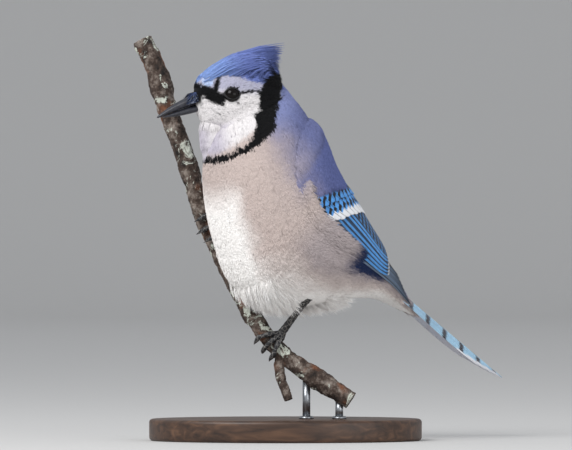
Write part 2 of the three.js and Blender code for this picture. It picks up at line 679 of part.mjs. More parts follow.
function rod(x) {
  const spot = branchPoints.reduce((best, p) => (Math.abs(p.x - x) < Math.abs(best.x - x) ? p : best));
  const low = BASE_THICK + NODE_GAP;
  const high = spot.z;
  const bar = new THREE.CylinderGeometry(ROD_RADIUS, ROD_RADIUS, high - low, 16)
    .rotateX(Math.PI / 2)
    .translate(x, spot.y, (high + low) / 2);
  return largestPiece(solidFrom(bar).subtract(branchClearance));
}

// What crosses another node is cut clear of it.
torso = largestPiece(
  joined([torso, ...thighs])
    .subtract(branchClearance)
    .subtract(leftLimb.clearance)
    .subtract(rightLimb.clearance),
);

// Materials and the scene graph
const finish = (colour, roughness, metalness = 0) =>
  new THREE.MeshStandardMaterial({ color: colour, roughness, metalness });
const GREY_PLUMAGE = finish("#c4b6b0", 0.9);
const BLUE_PLUMAGE = finish("#5f77b4", 0.75);
const TAIL_PLUMAGE = finish("#8fb4d6", 0.7);
const HORN = finish("#26272e", 0.4);
const EYE_GLOSS = finish("#1a1210", 0.08);
const BARK = finish("#6b594e", 0.95);
const WOOD = finish("#4a3426", 0.5);
const STEEL = finish("#8d9093", 0.35, 1);

const model = new THREE.Group();
function addNode(name, solid, material) {
  const { numProp, vertProperties, triVerts } = solid.getMesh();
  const points = new Float32Array((vertProperties.length / numProp) * 3);
  for (let i = 0; i < points.length / 3; i++) {
    points.set(vertProperties.subarray(i * numProp, i * numProp + 3), i * 3);
  }
  const geometry = new THREE.BufferGeometry();
  geometry.setAttribute("position", new THREE.BufferAttribute(points, 3));
  geometry.setIndex(new THREE.BufferAttribute(triVerts, 1));
  geometry.computeVertexNormals();
  const mesh = new THREE.Mesh(geometry, material);
  mesh.name = name;
  model.add(mesh);
}

addNode("torso", torso, GREY_PLUMAGE);
addNode("neck", neckOnly, GREY_PLUMAGE);
addNode("head", head, BLUE_PLUMAGE);
addNode("eye_left", leftEye.ball, EYE_GLOSS);
addNode("eye_right", rightEye.ball, EYE_GLOSS);
addNode("bill_upper", billUpper, HORN);
addNode("bill_lower", largestPiece(billLower), HORN);
addNode("wing_left", wingSolid(1), BLUE_PLUMAGE);
addNode("wing_right", wingSolid(-1), BLUE_PLUMAGE);
addNode("tail", tail, TAIL_PLUMAGE);
addNode("leg_left", leftLimb.leg, HORN);
addNode("leg_right", rightLimb.leg, HORN);
addNode("foot_left", leftLimb.foot, HORN);
addNode("foot_right", rightLimb.foot, HORN);
addNode("perch_branch", branch, BARK);
addNode("stand_base", base, WOOD);
ROD_SPOTS.forEach((x, i) => addNode(`stand_rod_${i + 1}`, rod(x), STEEL));

export default model;
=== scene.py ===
# %% [markdown]
# A blue jay on a cut branch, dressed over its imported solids. The solids give the shape of
# the body, so every sheet, feather and bristle here is laid on the same named stations. We
# work in millimetres and turn to metres only when a mesh is made.

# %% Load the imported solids
import bpy
import bmesh
import math
import numpy as np
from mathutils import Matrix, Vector, noise
from mathutils.bvhtree import BVHTree


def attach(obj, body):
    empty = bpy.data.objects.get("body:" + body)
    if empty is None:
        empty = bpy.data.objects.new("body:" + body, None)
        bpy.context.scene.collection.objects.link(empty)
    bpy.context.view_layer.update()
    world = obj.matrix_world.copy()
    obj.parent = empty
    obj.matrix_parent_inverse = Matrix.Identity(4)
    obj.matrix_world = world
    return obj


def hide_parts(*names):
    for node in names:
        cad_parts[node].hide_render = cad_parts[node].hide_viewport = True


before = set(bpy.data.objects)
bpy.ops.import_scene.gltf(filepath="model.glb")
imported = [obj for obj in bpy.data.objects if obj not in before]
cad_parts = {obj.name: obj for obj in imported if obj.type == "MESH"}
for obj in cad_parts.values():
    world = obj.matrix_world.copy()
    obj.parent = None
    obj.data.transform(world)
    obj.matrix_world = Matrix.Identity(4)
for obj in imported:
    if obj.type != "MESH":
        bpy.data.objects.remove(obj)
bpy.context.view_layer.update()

MM = 0.001
rng = np.random.default_rng(7)
print("solids:", len(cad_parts))

# %% [markdown]
# The camera looks level along +Y from far off, as a long lens does. A pixel of the picture
# is 0.55 mm at the bird, so the picture is 314.6 mm wide. The model's origin is in column
# 285 of the picture, and the floor at row 440.

# %% Camera
PIXEL = 0.55
PICTURE_WIDTH = 572 * PIXEL
ORIGIN_COLUMN, FLOOR_ROW = 285, 440
MIDDLE_COLUMN, MIDDLE_ROW = 285.5, 224.5
CENTRE_X = (MIDDLE_COLUMN - ORIGIN_COLUMN) * PIXEL
CENTRE_Z = (FLOOR_ROW - MIDDLE_ROW) * PIXEL
CAMERA_DISTANCE = 4000.0
SENSOR_WIDTH = 36
camera_data = bpy.data.cameras.new("camera")
camera_data.sensor_width = SENSOR_WIDTH
camera_data.lens = SENSOR_WIDTH * CAMERA_DISTANCE / PICTURE_WIDTH
camera_data.clip_end = 100
camera = bpy.data.objects.new("camera", camera_data)
camera.location = (CENTRE_X * MM, -CAMERA_DISTANCE * MM, CENTRE_Z * MM)
camera.rotation_euler = (math.radians(90), 0, 0)
bpy.context.scene.collection.objects.link(camera)
bpy.context.scene.camera = camera
print("lens", round(camera_data.lens, 1))

# %% [markdown]
# The body is a loft: at each station a belly point, a back point and a half width are
# joined by an ellipse. A sculpted mesh could give the same form, but a formula lets every
# feather find its place on it. The same tables shape the solids, so feathers land where
# they should. A row is the belly's and the back's place ahead and up, then the half width.

# %% The body's and the head's stations
BODY_STATIONS = np.array([
    [-85.0, 67.7, -86.7, 71.0, 4.5],
    [-73.5, 72.1, -78.5, 80.3, 8.5],
    [-59.5, 77.0, -68.3, 93.5, 14.5],
    [-43.9, 77.6, -57.1, 106.7, 21],
    [-25.6, 75.4, -47.0, 119.9, 28],
    [-5.2, 73.7, -37.7, 133.1, 33.5],
    [14.1, 75.9, -28.8, 145.2, 36.5],
    [29.9, 85.3, -21.3, 156.2, 37.5],
    [38.2, 100.7, -16.4, 166.6, 37],
    [44.1, 117.7, -11.6, 175.6, 35],
    [48.0, 134.2, -6.9, 183.5, 31],
    [49.7, 147.4, -1.3, 190.9, 25.5],
    [49.2, 159.5, 4.2, 197.2, 20],
    [44.0, 171.0, 11.6, 202.4, 15],
])
HEAD_STATIONS = np.array([
    [26.6, 180.4, 27.0, 193.6, 5.5],
    [24.0, 176.0, 26.0, 198.6, 8.5],
    [20.5, 170.8, 21.6, 203.2, 11.5],
    [14.8, 168.5, 15.9, 207.4, 14.2],
    [6.9, 166.1, 8.0, 210.9, 16.6],
    [-2.3, 164.5, -0.6, 212.8, 17.4],
    [-10.2, 166.7, -6.8, 212.6, 16.6],
    [-16.4, 172.2, -14.8, 209.2, 13.6],
    [-19.8, 180.4, -19.2, 202.0, 8.5],
])


def turned_frame(turn, origin):
    turn = math.radians(turn)
    forward = np.array([-math.cos(turn), -math.sin(turn), 0.0])
    left = np.array([math.sin(turn), -math.cos(turn), 0.0])
    return forward, left, np.array(origin, float)


BODY = turned_frame(33, (0, -5, 0))
HEAD = turned_frame(15, (-23.65, -19, 0))
UP = np.array([0.0, 0.0, 1.0])


def in_frame(place, forward, left, up):
    ahead, aside, origin = place
    forward, left, up = np.broadcast_arrays(forward, left, up)
    return origin + forward[..., None] * ahead + left[..., None] * aside + up[..., None] * UP


def frame_coords(place, points):
    ahead, aside, origin = place
    away = points - origin
    return away @ ahead, away @ aside, points[..., 2]


def spline(rows, t):
    """A Catmull-Rom curve through the rows, at shares t from 0 to 1."""
    t = np.clip(np.asarray(t, float), 0, 1) * (len(rows) - 1)
    low = np.minimum(t.astype(int), len(rows) - 2)
    w = (t - low)[..., None]
    padded = np.vstack([2 * rows[0] - rows[1], rows, 2 * rows[-1] - rows[-2]])
    a, b, c, d = (padded[low + k] for k in range(4))
    v0, v1 = (c - a) / 2, (d - b) / 2
    return (2 * b - 2 * c + v0 + v1) * w**3 + (3 * c - 3 * b - 2 * v0 - v1) * w**2 + v0 * w + b


def loft(rows, place, t, around, lift=0.0):
    """A point on the form: around is 0 on the back, 90 degrees on the left side, in radians."""
    row = spline(rows, t)
    low, high, half = row[..., 0:2], row[..., 2:4], row[..., 4]
    rise = (high - low) / 2
    tall = np.linalg.norm(rise, axis=-1)
    centre = (high + low) / 2 + rise * ((tall + lift) / tall * np.cos(around))[..., None]
    return in_frame(place, centre[..., 0], np.sin(around) * (half + lift), centre[..., 1])


def body_at(t, around, lift=0.0):
    return loft(BODY_STATIONS, BODY, np.asarray(t, float), np.asarray(around, float), lift)


def head_at(t, around, lift=0.0):
    return loft(HEAD_STATIONS, HEAD, np.asarray(t, float), np.asarray(around, float), lift)


print("body reach", np.round(body_at(0.5, math.pi / 2), 1))

# %% [markdown]
# Two helpers serve every modelled piece. One lays a sphere's grid over a surface, which
# closes both ends with a pole. The other links a mesh, shades it smooth and lets it ride.

# %% Mesh helpers
def unit(v):
    return v / np.maximum(np.linalg.norm(v, axis=-1, keepdims=True), 1e-9)


def mix(a, b, share):
    return a + (b - a) * share


def smooth(low, high, x):
    s = np.clip((x - low) / (high - low), 0, 1)
    return s * s * (3 - 2 * s)


def laid_flat(way, normal, amount=1.0):
    """The directions turned to lie along a surface, wholly or in part."""
    return unit(way - normal * (way * normal).sum(1, keepdims=True) * amount)


def upward(way):
    return way if way[2] > 0 else -way


def add_piece(name, mesh, material, nodes, faceted=False):
    piece = bpy.data.objects.new(name, mesh)
    bpy.context.scene.collection.objects.link(piece)
    mesh.materials.append(material)
    mesh.polygons.foreach_set("use_smooth", [not faceted] * len(mesh.polygons))
    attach(piece, "root")
    if nodes:
        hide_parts(*nodes)
    return piece


def mapped_ball(bm, around, along, place):
    """A sphere's grid moved so that its poles close the two ends of a swept form."""
    made = bmesh.ops.create_uvsphere(bm, u_segments=around, v_segments=along, radius=1)["verts"]
    for v in made:
        share = math.acos(max(-1, min(1, v.co.z))) / math.pi
        pole = share < 1e-4 or share > 1 - 1e-4
        angle = math.atan2(v.co.y, v.co.x)
        v.co = Vector(place(share, angle, pole)) * MM
    bmesh.ops.recalc_face_normals(bm, faces=bm.faces)


def mesh_from(bm, name):
    mesh = bpy.data.meshes.new(name)
    bm.to_mesh(mesh)
    bm.free()
    return mesh


def swept(points, radius_at, around, along, squash=1.0):
    """Makes a place function for a round form along a smooth line."""
    rows = np.array(points, float)
    fine = spline(rows, np.linspace(0, 1, 200))
    travel = np.concatenate([[0], np.cumsum(np.linalg.norm(np.diff(fine, axis=0), axis=1))])
    even = np.linspace(0, travel[-1], along - 1)
    line = np.array([np.interp(even, travel, fine[:, k]) for k in range(3)]).T
    way = unit(np.gradient(line, axis=0))
    side = np.zeros_like(line)
    side[0] = unit(np.cross(way[0], [0.3, 1, 0.2]))
    for k in range(1, len(line)):
        side[k] = unit(side[k - 1] - way[k] * (side[k - 1] @ way[k]))
    over = np.cross(way, side)

    def place(share, angle, pole):
        k = int(round(share * along)) - 1
        k = max(0, min(len(line) - 1, k))
        if pole:
            return line[k]
        t = k / (len(line) - 1)
        r = radius_at(t, angle, line[k])
        return line[k] + side[k] * math.cos(angle) * r + over[k] * math.sin(angle) * r * squash

    return place


# %% [markdown]
# Colours are written as sRGB hex, as read off a paint chart, and one function makes them
# linear. One small function adds a shader node. What feeds an input, by its place or its
# name, is a constant or another node's output, and a colour ramp also takes its stops.

# %% Colour and shader helpers
MATH = "ShaderNodeMath"
MIX = "ShaderNodeMix"
RAMP = "ShaderNodeValToRGB"
NOISE = "ShaderNodeTexNoise"
BUMP = "ShaderNodeBump"
# A mix node has several sockets of one name, so its colour sockets go by their places.
SHARE, UNDER, OVER, MIXED = 0, 6, 7, 2


def linear(hexed):
    parts = [int(hexed[i : i + 2], 16) / 255 for i in (1, 3, 5)]
    parts = [c / 12.92 if c <= 0.04045 else ((c + 0.055) / 1.055) ** 2.4 for c in parts]
    return (*parts, 1.0)


def pigment(hexed):
    return np.array(linear(hexed)[:3])


def node(tree, kind, inputs=(), output=0, stops=(), **settings):
    made = tree.nodes.new(kind)
    for key, value in settings.items():
        setattr(made, key, value)
    for key, value in inputs.items() if isinstance(inputs, dict) else enumerate(inputs):
        if isinstance(value, bpy.types.NodeSocket):
            tree.links.new(value, made.inputs[key])
        else:
            made.inputs[key].default_value = value
    while stops and len(made.color_ramp.elements) < len(stops):
        made.color_ramp.elements.new(0.5)
    for number, (position, colour) in enumerate(stops):
        made.color_ramp.elements[number].position = position
        made.color_ramp.elements[number].color = linear(colour) if isinstance(colour, str) else colour
    return made.outputs[output]


def new_material(name, sockets):
    material = bpy.data.materials.new(name)
    material.use_nodes = True
    shader = material.node_tree.nodes["Principled BSDF"]
    for key, value in sockets.items():
        shader.inputs[key].default_value = value
    return material, material.node_tree, shader


# %% [markdown]
# Plumage is soft: keratin barbs scatter light, so it is rough with a faint sheen. The crown
# is sleeker, because its barbs lie close. A barb takes its colour from the piece's own
# attribute, which the coat writes at its root, so no pattern slides over the feathers.

# %% Plumage finish
def plumage_finish(name, roughness, sheen):
    sockets = {"Roughness": roughness, "Sheen Weight": sheen, "Sheen Roughness": 0.5}
    material, tree, shader = new_material(name, {**sockets, "Specular IOR Level": 0.12})
    colour = node(tree, "ShaderNodeAttribute", output="Color", attribute_name="plumage")
    tree.links.new(colour, shader.inputs["Base Color"])
    return material


soft_plumage = plumage_finish("soft_body_plumage", 0.85, 0.04)
sleek_plumage = plumage_finish("sleek_crown_plumage", 0.6, 0.02)

# %% [markdown]
# The markings. On the head they are drawn from the side, as distances ahead of the head's
# centre and heights above the base, and they are the same on both sides. A painted map
# would do for one view, but drawn strokes hold on the skin and on every barb alike. The
# collar's rows are a height and its edge, the crown's are a distance ahead and its edge.

# %% Where the markings lie
COLLAR_FRONT = np.array([
    [156.5, 23], [157.9, 21], [159.5, 13.6], [163.9, 5.1], [169.3, 0.5], [173.7, -1.9], [178.1, -1.9],
    [184.6, -3], [190.1, -2.6], [194.9, -4.9], [197.8, -4.3], [200.7, -8.6], [204, -13], [210.9, -20.3],
])
COLLAR_REAR = np.array([
    [154.2, 24], [155.6, 18], [157.0, 12.4], [160.6, 3.8], [165.8, -3], [173.2, -11.3], [178.1, -13],
    [186.5, -15.8], [193.4, -17], [200.7, -21], [207, -34],
])
CROWN_EDGE = np.array([
    [-30, 190], [-8, 194.2], [-3.2, 195.8], [3, 197.2], [9, 198.6], [15.5, 199.4], [18.5, 198.4],
    [20.5, 199.4], [23.5, 199.2], [27, 194.5],
])
LORE = [
    ((26.6, 193.2), (23.5, 190.6), 1.7), ((23.5, 190.6), (19.6, 188.2), 2.9),
    ((19.6, 188.2), (16.8, 187.0), 2.6), ((17.0, 187.8), (12.4, 189.0), 1.4),
    ((19.4, 190.5), (18.2, 195.5), 1.3), ((18.2, 195.5), (16.6, 200.2), 0.8),
]
EYE_LINE = [((5.5, 190.3), (0.5, 191.4), 0.6), ((0.5, 191.4), (-4.0, 191.0), 0.35)]
WHISKER = [
    ((21.5, 183.6), (17.6, 180.2), 0.2), ((17.0, 180.4), (14.8, 176.8), 0.2),
    ((19.6, 185.5), (15.4, 184.4), 0.5),
]
EYE = (9.3, 12.9, 189.6)


def near_lines(lines, x, z, soft):
    """1 near the drawn strokes, falling to 0 across a soft edge."""
    most = np.zeros_like(x)
    for (x0, z0), (x1, z1), half in lines:
        dx, dz = x1 - x0, z1 - z0
        share = np.clip(((x - x0) * dx + (z - z0) * dz) / (dx * dx + dz * dz), 0, 1)
        away = np.hypot(x - x0 - share * dx, z - z0 - share * dz)
        most = np.maximum(most, 1 - smooth(half - soft, half + soft, away))
    return most


def blend(base, over, amount):
    return base + (over - base) * np.asarray(amount)[..., None]


def wander(points, scale, seed=0.0):
    """Slow noise from -1 to 1, so that no marking has a ruled edge."""
    return np.array([noise.noise(Vector(p) / scale + Vector((seed, 0, 0))) for p in points])


# %% Plumage colours
WHITE = pigment("#fbf8f5")
BREAST_GREY = pigment("#c3b4ae")
BREAST_WARM = pigment("#b3a5a3")
FLANK_GREY = pigment("#ada3a5")
BLACK = pigment("#0e0e10")
MANTLE = pigment("#646a92")
MANTLE_LOW = pigment("#4c5f94")
NECK_BLUE = pigment("#8088b2")
SIDE_MAUVE = pigment("#7c7c98")
CROWN_FRONT = pigment("#86a2dc")
CREST_BLUE = pigment("#6c7bb8")
BROW = pigment("#b3b2c4")
CHEEK = pigment("#e2dede")
# Painted shade: a darker mauve grey laid on the front of the throat, under the chin and on the bib.
THROAT_FRONT_SHADE = pigment("#bab4c0")
RUMP_BLUE = pigment("#1e2c50")
SPOT = pigment("#b4c4e4")


def collar_amount(x, z):
    front = np.interp(z, COLLAR_FRONT[:, 0], COLLAR_FRONT[:, 1])
    rear = np.interp(z, COLLAR_REAR[:, 0], COLLAR_REAR[:, 1])
    inside = smooth(-0.5, 0.5, front - x) * smooth(-0.5, 0.5, x - rear)
    return inside * (z > 154.5)


def body_colour(points, t, around):
    turn = np.abs(np.degrees(around))
    x, _, z = frame_coords(HEAD, points)
    slow = wander(points, 9.0)
    colour = blend(BREAST_GREY, BREAST_WARM, smooth(0.55, 0.8, t) * smooth(120, 100, turn) * 0.7)
    colour = blend(colour, SIDE_MAUVE, smooth(0.6, 0.7, t) * smooth(106, 84, turn + 5 * slow) * 0.65)
    colour = blend(colour, WHITE, smooth(136, 160, turn + 8 * slow) * smooth(0.84, 0.72, t) * 0.95)
    colour = blend(colour, WHITE, smooth(0.62, 0.5, t) * smooth(112, 150, turn + 6 * slow) * 0.9)
    colour = blend(colour, FLANK_GREY, smooth(0.62, 0.5, t) * smooth(128, 108, turn + 6 * slow) * 0.8)
    back = smooth(86, 66, turn + 7 * slow)
    blue = blend(MANTLE, MANTLE_LOW, smooth(0.6, 0.35, t))
    blue = blend(blue, SIDE_MAUVE, smooth(55, 75, turn) * 0.8)
    colour = blend(colour, blue, back * smooth(0.06, 0.16, t))
    colour = blend(colour, NECK_BLUE, smooth(0.8, 0.9, t) * smooth(100, 75, turn) * 0.9)
    front = np.interp(z, COLLAR_FRONT[:, 0], COLLAR_FRONT[:, 1])
    # The throat is painted darker mauve grey towards its front, as painted shade.
    throat = blend(CHEEK, THROAT_FRONT_SHADE, smooth(8, 18, x))
    colour = blend(colour, throat, smooth(0.9, 0.93, t) * smooth(-1, 1, x - front + 1))
    rump = smooth(0.2, 0.25, t) * smooth(0.42, 0.37, t) * smooth(112, 102, turn) * smooth(70, 80, turn)
    colour = blend(colour, RUMP_BLUE, rump)
    return blend(colour, BLACK, collar_amount(x + 0.5 * slow, z + 0.5 * slow))


def head_colour(points):
    x, y, z = frame_coords(HEAD, points)
    slow = wander(points, 6.0)
    edge = np.interp(x, CROWN_EDGE[:, 0], CROWN_EDGE[:, 1])
    # Under the chin, towards the front, the white is painted darker mauve grey as painted shade.
    colour = blend(CHEEK, THROAT_FRONT_SHADE, smooth(178, 170, z) * smooth(4, 14, x))
    colour = blend(colour, BROW, smooth(188, 193, z) * smooth(-14, -8, x))
    behind = np.interp(z, COLLAR_REAR[:, 0], COLLAR_REAR[:, 1])
    colour = blend(colour, NECK_BLUE, smooth(0.5, -0.5, x - behind))
    crown = blend(CREST_BLUE, CROWN_FRONT, smooth(4, 22, x + 2 * slow))
    colour = blend(colour, crown, smooth(-0.7, 0.7, z - edge + 0.5 * slow))
    spot = ((x - 22.6) / 3.0) ** 2 + ((z - 196.4) / 3.6) ** 2 + ((np.abs(y) - 7.5) / 5.0) ** 2
    colour = blend(colour, SPOT, smooth(1.3, 0.6, spot + 0.3 * slow))
    median = smooth(1.3, 0.6, np.abs(y)) * smooth(197, 195.5, z) * smooth(20, 22, x) * smooth(185, 188, z)
    base = smooth(24.3, 25.3, x) * smooth(195.5, 193.5, z) * smooth(183, 186, z)
    lore = near_lines(LORE, x, z, 0.6)
    broken = (0.6 + 0.6 * wander(points, 1.6, 9.0)).clip(0, 1)
    whisker = near_lines(WHISKER, x, z, 0.35) * smooth(7, 9, np.abs(y)) * broken
    line = np.maximum(near_lines(EYE_LINE, x, z, 0.35), whisker)
    rim = smooth(4.6, 4.1, np.hypot(x - EYE[0], (z - EYE[2] + 0.4) * 1.12))
    dark = np.maximum.reduce([median, base, lore, line, rim, collar_amount(x + 0.4 * slow, z)])
    return blend(colour, BLACK, dark)


print("markings ready")

# %% [markdown]
# The skin is one sheet under the whole coat: the body's, the head's, the thighs' and the
# chin's forms are joined, remeshed into one surface and smoothed, a coat's depth inside the
# solids. A voxel remesh is used because it leaves no seam where the forms cross.

# %% Skin
COAT_DEPTH = 1.3
VOXEL = 1.3
THIGH_END = 2.0


def form_place(rows, place, along, lift):
    end = 1.0 / along

    def at(share, angle, pole):
        t = min(1.0, max(0.0, (share - end) / (1 - 2 * end)))
        if not pole:
            return loft(rows, place, np.array(t), np.array(angle), lift)
        ends = [loft(rows, place, np.array(t), np.array(a), lift) for a in (0.0, math.pi)]
        return (ends[0] + ends[1]) / 2

    return at


skin_bm = bmesh.new()
mapped_ball(skin_bm, 48, 60, form_place(BODY_STATIONS, BODY, 60, -COAT_DEPTH))
mapped_ball(skin_bm, 40, 36, form_place(HEAD_STATIONS, HEAD, 36, -COAT_DEPTH))
THIGHS = [
    ([(14, -10, 96), (13, -13.6, 86), (12.6, -15.4, 81)], 8.5),
    ([(-4, 14, 104), (-12, 20, 99.8), (-16, 22.8, 97.8)], 7.0),
]
for line, thick in THIGHS:
    mapped_ball(skin_bm, 20, 14, swept(line, lambda t, a, p: mix(thick, THIGH_END, t**0.8), 20, 14))
CHIN_AHEAD = np.array([14.5, 15.2, 15.5, 14.0])
CHIN_HEIGHTS = np.array([181.0, 173.0, 165.0, 156.5])
chin_line = in_frame(HEAD, CHIN_AHEAD, np.zeros(4), CHIN_HEIGHTS)
mapped_ball(skin_bm, 24, 20, swept(chin_line, lambda t, a, p: 6.6 - 1.2 * abs(2 * t - 1) ** 3, 24, 20))
skin_mesh = mesh_from(skin_bm, "bird_skin")
skin = add_piece("bird_skin", skin_mesh, soft_plumage, ["torso", "neck", "head"])
remesh = skin.modifiers.new("one_sheet", "REMESH")
remesh.mode = "VOXEL"
remesh.voxel_size = VOXEL * MM
relax = skin.modifiers.new("relax", "SMOOTH")
relax.factor = 0.5
relax.iterations = 6
bpy.context.view_layer.objects.active = skin
for modifier in ("one_sheet", "relax"):
    bpy.ops.object.modifier_apply(modifier=modifier)
skin.data.polygons.foreach_set("use_smooth", [True] * len(skin.data.polygons))
skin_points = np.empty(len(skin.data.vertices) * 3)
skin.data.vertices.foreach_get("co", skin_points)
skin_points = skin_points.reshape(-1, 3) / MM
skin_tree = BVHTree.FromObject(skin, bpy.context.evaluated_depsgraph_get())
print("skin faces", len(skin.data.polygons))

# %% Skin colours
GRID_T, GRID_A = np.meshgrid(np.linspace(0, 1, 90), np.radians(np.linspace(-180, 180, 121)), indexing="ij")
body_grid = body_at(GRID_T.ravel(), GRID_A.ravel())
BLOCK = 800


def nearest_on_body(points):
    best_t = np.empty(len(points))
    best_a = np.empty(len(points))
    flat_t, flat_a = GRID_T.ravel(), GRID_A.ravel()
    for start in range(0, len(points), BLOCK):
        block = points[start : start + BLOCK]
        away = ((block[:, None, :] - body_grid[None]) ** 2).sum(-1)
        pick = away.argmin(1)
        best_t[start : start + BLOCK] = flat_t[pick]
        best_a[start : start + BLOCK] = flat_a[pick]
    return best_t, best_a


def write_colours(mesh, colours):
    layer = mesh.color_attributes.new("plumage", "FLOAT_COLOR", "POINT")
    full = np.ones((len(colours), 4), np.float32)
    full[:, :3] = np.clip(colours, 0, 1)
    layer.data.foreach_set("color", full.ravel())


on_t, on_a = nearest_on_body(skin_points)
hx, hy, hz = frame_coords(HEAD, skin_points)
inside_head = (hz > 166) & (np.hypot(hx / 1.3, hy) < 21) & (hx > -21)
skin_colours = np.where(inside_head[:, None], head_colour(skin_points), body_colour(skin_points, on_t, on_a))
# The skin is painted a tenth darker than the plumage over it, as painted shade where it shows between the
# feathers.
write_colours(skin.data, skin_colours * 0.9)
print("skin coloured")

# %% [markdown]
# The coat. A tuft is a few barbs that fan from one root: each barb is a closed sliver of
# six triangles, raised at its middle and laid back at its tip. Tufts are sown evenly on the
# form, follow its lie from bill to tail, and are joined into a few large meshes. Curves or
# a particle system would comb as well, but a joined mesh is what a library part can keep.

# %% Sow and grow tufts
SLIVER_FACES = np.array([(0, 3, 1), (1, 3, 4), (0, 2, 3), (3, 2, 4), (0, 1, 2), (1, 4, 2)])
SLIVER_UV = np.array([(0.5, 0), (0, 0.45), (1, 0.45), (0.5, 0.5), (0.5, 1)])
PATCH = 0.003


def array_mesh(name, points, faces, uv, colours):
    """A triangle mesh from arrays, in millimetres, with its bake map and its colours."""
    mesh = bpy.data.meshes.new(name)
    mesh.vertices.add(len(points))
    mesh.vertices.foreach_set("co", (points * MM).astype(np.float32).ravel())
    mesh.loops.add(faces.size)
    mesh.loops.foreach_set("vertex_index", faces.astype(np.int32).ravel())
    mesh.polygons.add(len(faces))
    mesh.polygons.foreach_set("loop_start", np.arange(0, faces.size, 3, dtype=np.int32))
    mesh.update(calc_edges=True)
    layer = mesh.uv_layers.new(name="OFBake")
    layer.data.foreach_set("uv", uv[faces.ravel()].astype(np.float32).ravel())
    write_colours(mesh, colours)
    return mesh


def sow(surface, density, t_range=(0, 1), turn_range=(-180, 180), cells=(150, 170)):
    """Even random places on a form: density(t, turn) is in tufts a square millimetre."""
    t_edges = np.linspace(*t_range, cells[0] + 1)
    a_edges = np.radians(np.linspace(*turn_range, cells[1] + 1))
    tt, aa = np.meshgrid(t_edges, a_edges, indexing="ij")
    corner = surface(tt.ravel(), aa.ravel()).reshape(*tt.shape, 3)
    one = corner[1:, :-1] - corner[:-1, :-1]
    two = corner[:-1, 1:] - corner[:-1, :-1]
    area = np.linalg.norm(np.cross(one, two), axis=-1)
    mid_t = (tt[:-1, :-1] + tt[1:, 1:]) / 2
    mid_a = (aa[:-1, :-1] + aa[1:, 1:]) / 2
    expected = area * density(mid_t, np.degrees(mid_a))
    count = np.floor(expected + rng.random(expected.shape)).astype(int).ravel()
    t = np.repeat(mid_t.ravel(), count)
    a = np.repeat(mid_a.ravel(), count)
    t = t + (rng.random(len(t)) - 0.5) * (t_edges[1] - t_edges[0])
    a = a + (rng.random(len(a)) - 0.5) * (a_edges[1] - a_edges[0])
    return np.clip(t, 0, 1), a


def roots_on(surface, t, a, sign, keep_within=1.6):
    """Roots, normals and lies on the skin; roots buried under another form are dropped."""
    step = 0.01
    at = surface(t, a, -COAT_DEPTH)
    lie = unit(surface(np.clip(t + sign * step, 0, 1), a) - surface(np.clip(t - sign * step, 0, 1), a))
    found = [skin_tree.find_nearest(Vector(p) * MM) for p in at]
    point = np.array([f[0] for f in found]) / MM
    normal = np.array([f[1] for f in found])
    away = np.linalg.norm(point - at, axis=1)
    keep = away < keep_within
    lie = laid_flat(lie, normal)
    return keep, point, normal, lie


def grow(name, root, normal, lie, colours, where, length, width, barbs=6, fan=18.0, rise=0.16,
         curve_radius=45.0, painted_root_shade=0.55, tint=0.1, streaks=0.0, finish=soft_plumage):
    """Barbs for every root, joined into one coat piece. where is each root's place on the unwrap."""
    count = len(root)
    length = np.broadcast_to(length, count)
    width = np.broadcast_to(width, count)
    index = np.repeat(np.arange(count), barbs)
    spread = np.tile(np.linspace(-1, 1, barbs), count) + rng.normal(0, 0.18, count * barbs)
    n, d0 = normal[index], lie[index]
    side = np.cross(n, d0)
    turn = np.radians(fan) * spread
    d = unit(d0 * np.cos(turn)[:, None] + side * np.sin(turn)[:, None])
    across = np.cross(n, d)
    reach = length[index] * (1 - 0.16 * spread**2) * rng.uniform(0.8, 1.15, len(index))
    wide = width[index] * rng.uniform(0.75, 1.2, len(index))
    start = root[index] + side * (spread * 0.25 * wide)[:, None] - n * 0.35
    hump = reach * rise * rng.uniform(0.85, 1.15, len(index))
    middle = start + d * (reach * 0.45)[:, None] + n * (hump + 0.35)[:, None]
    drop = reach**2 / (2 * curve_radius)
    tip = start + d * reach[:, None] + n * (hump * 0.75 + 0.35 - drop)[:, None]
    points = np.stack([
        start,
        middle - across * (wide / 2)[:, None],
        middle + across * (wide / 2)[:, None],
        middle + n * (0.3 * wide)[:, None],
        tip,
    ], axis=1)
    tone = colours[index] * rng.normal(1, tint, len(index)).clip(0.6, 1.4)[:, None]
    tone = tone * np.where(rng.random(len(index)) < streaks, 0.6, 1.0)[:, None]
    # Each barb is painted darker at its root, as painted shade where it goes in among the feathers round it.
    # It is a little darker on its two sides than on its ridge, as painted shade across the barb, and a
    # little lighter at its tip, as painted light.
    tone = tone[:, None, :] * np.array([painted_root_shade, 0.92, 0.92, 1.0, 1.06])[None, :, None]
    faces = (np.arange(len(index))[:, None, None] * 5 + SLIVER_FACES[None]).reshape(-1, 3)
    uv = (where[index] * 0.99)[:, None, :] + SLIVER_UV[None] * PATCH
    mesh = array_mesh(name, points.reshape(-1, 3), faces, uv.reshape(-1, 2), tone.reshape(-1, 3))
    add_piece(name, mesh, finish, (), faceted=True)
    print(name, "tufts", count, "triangles", len(faces))


def unwrap_place(t, a):
    return np.stack([(np.degrees(a) % 360) / 360, t], axis=1)


def signed(a):
    """The same angle, from minus half a turn to half a turn."""
    return (a + math.pi) % (2 * math.pi) - math.pi
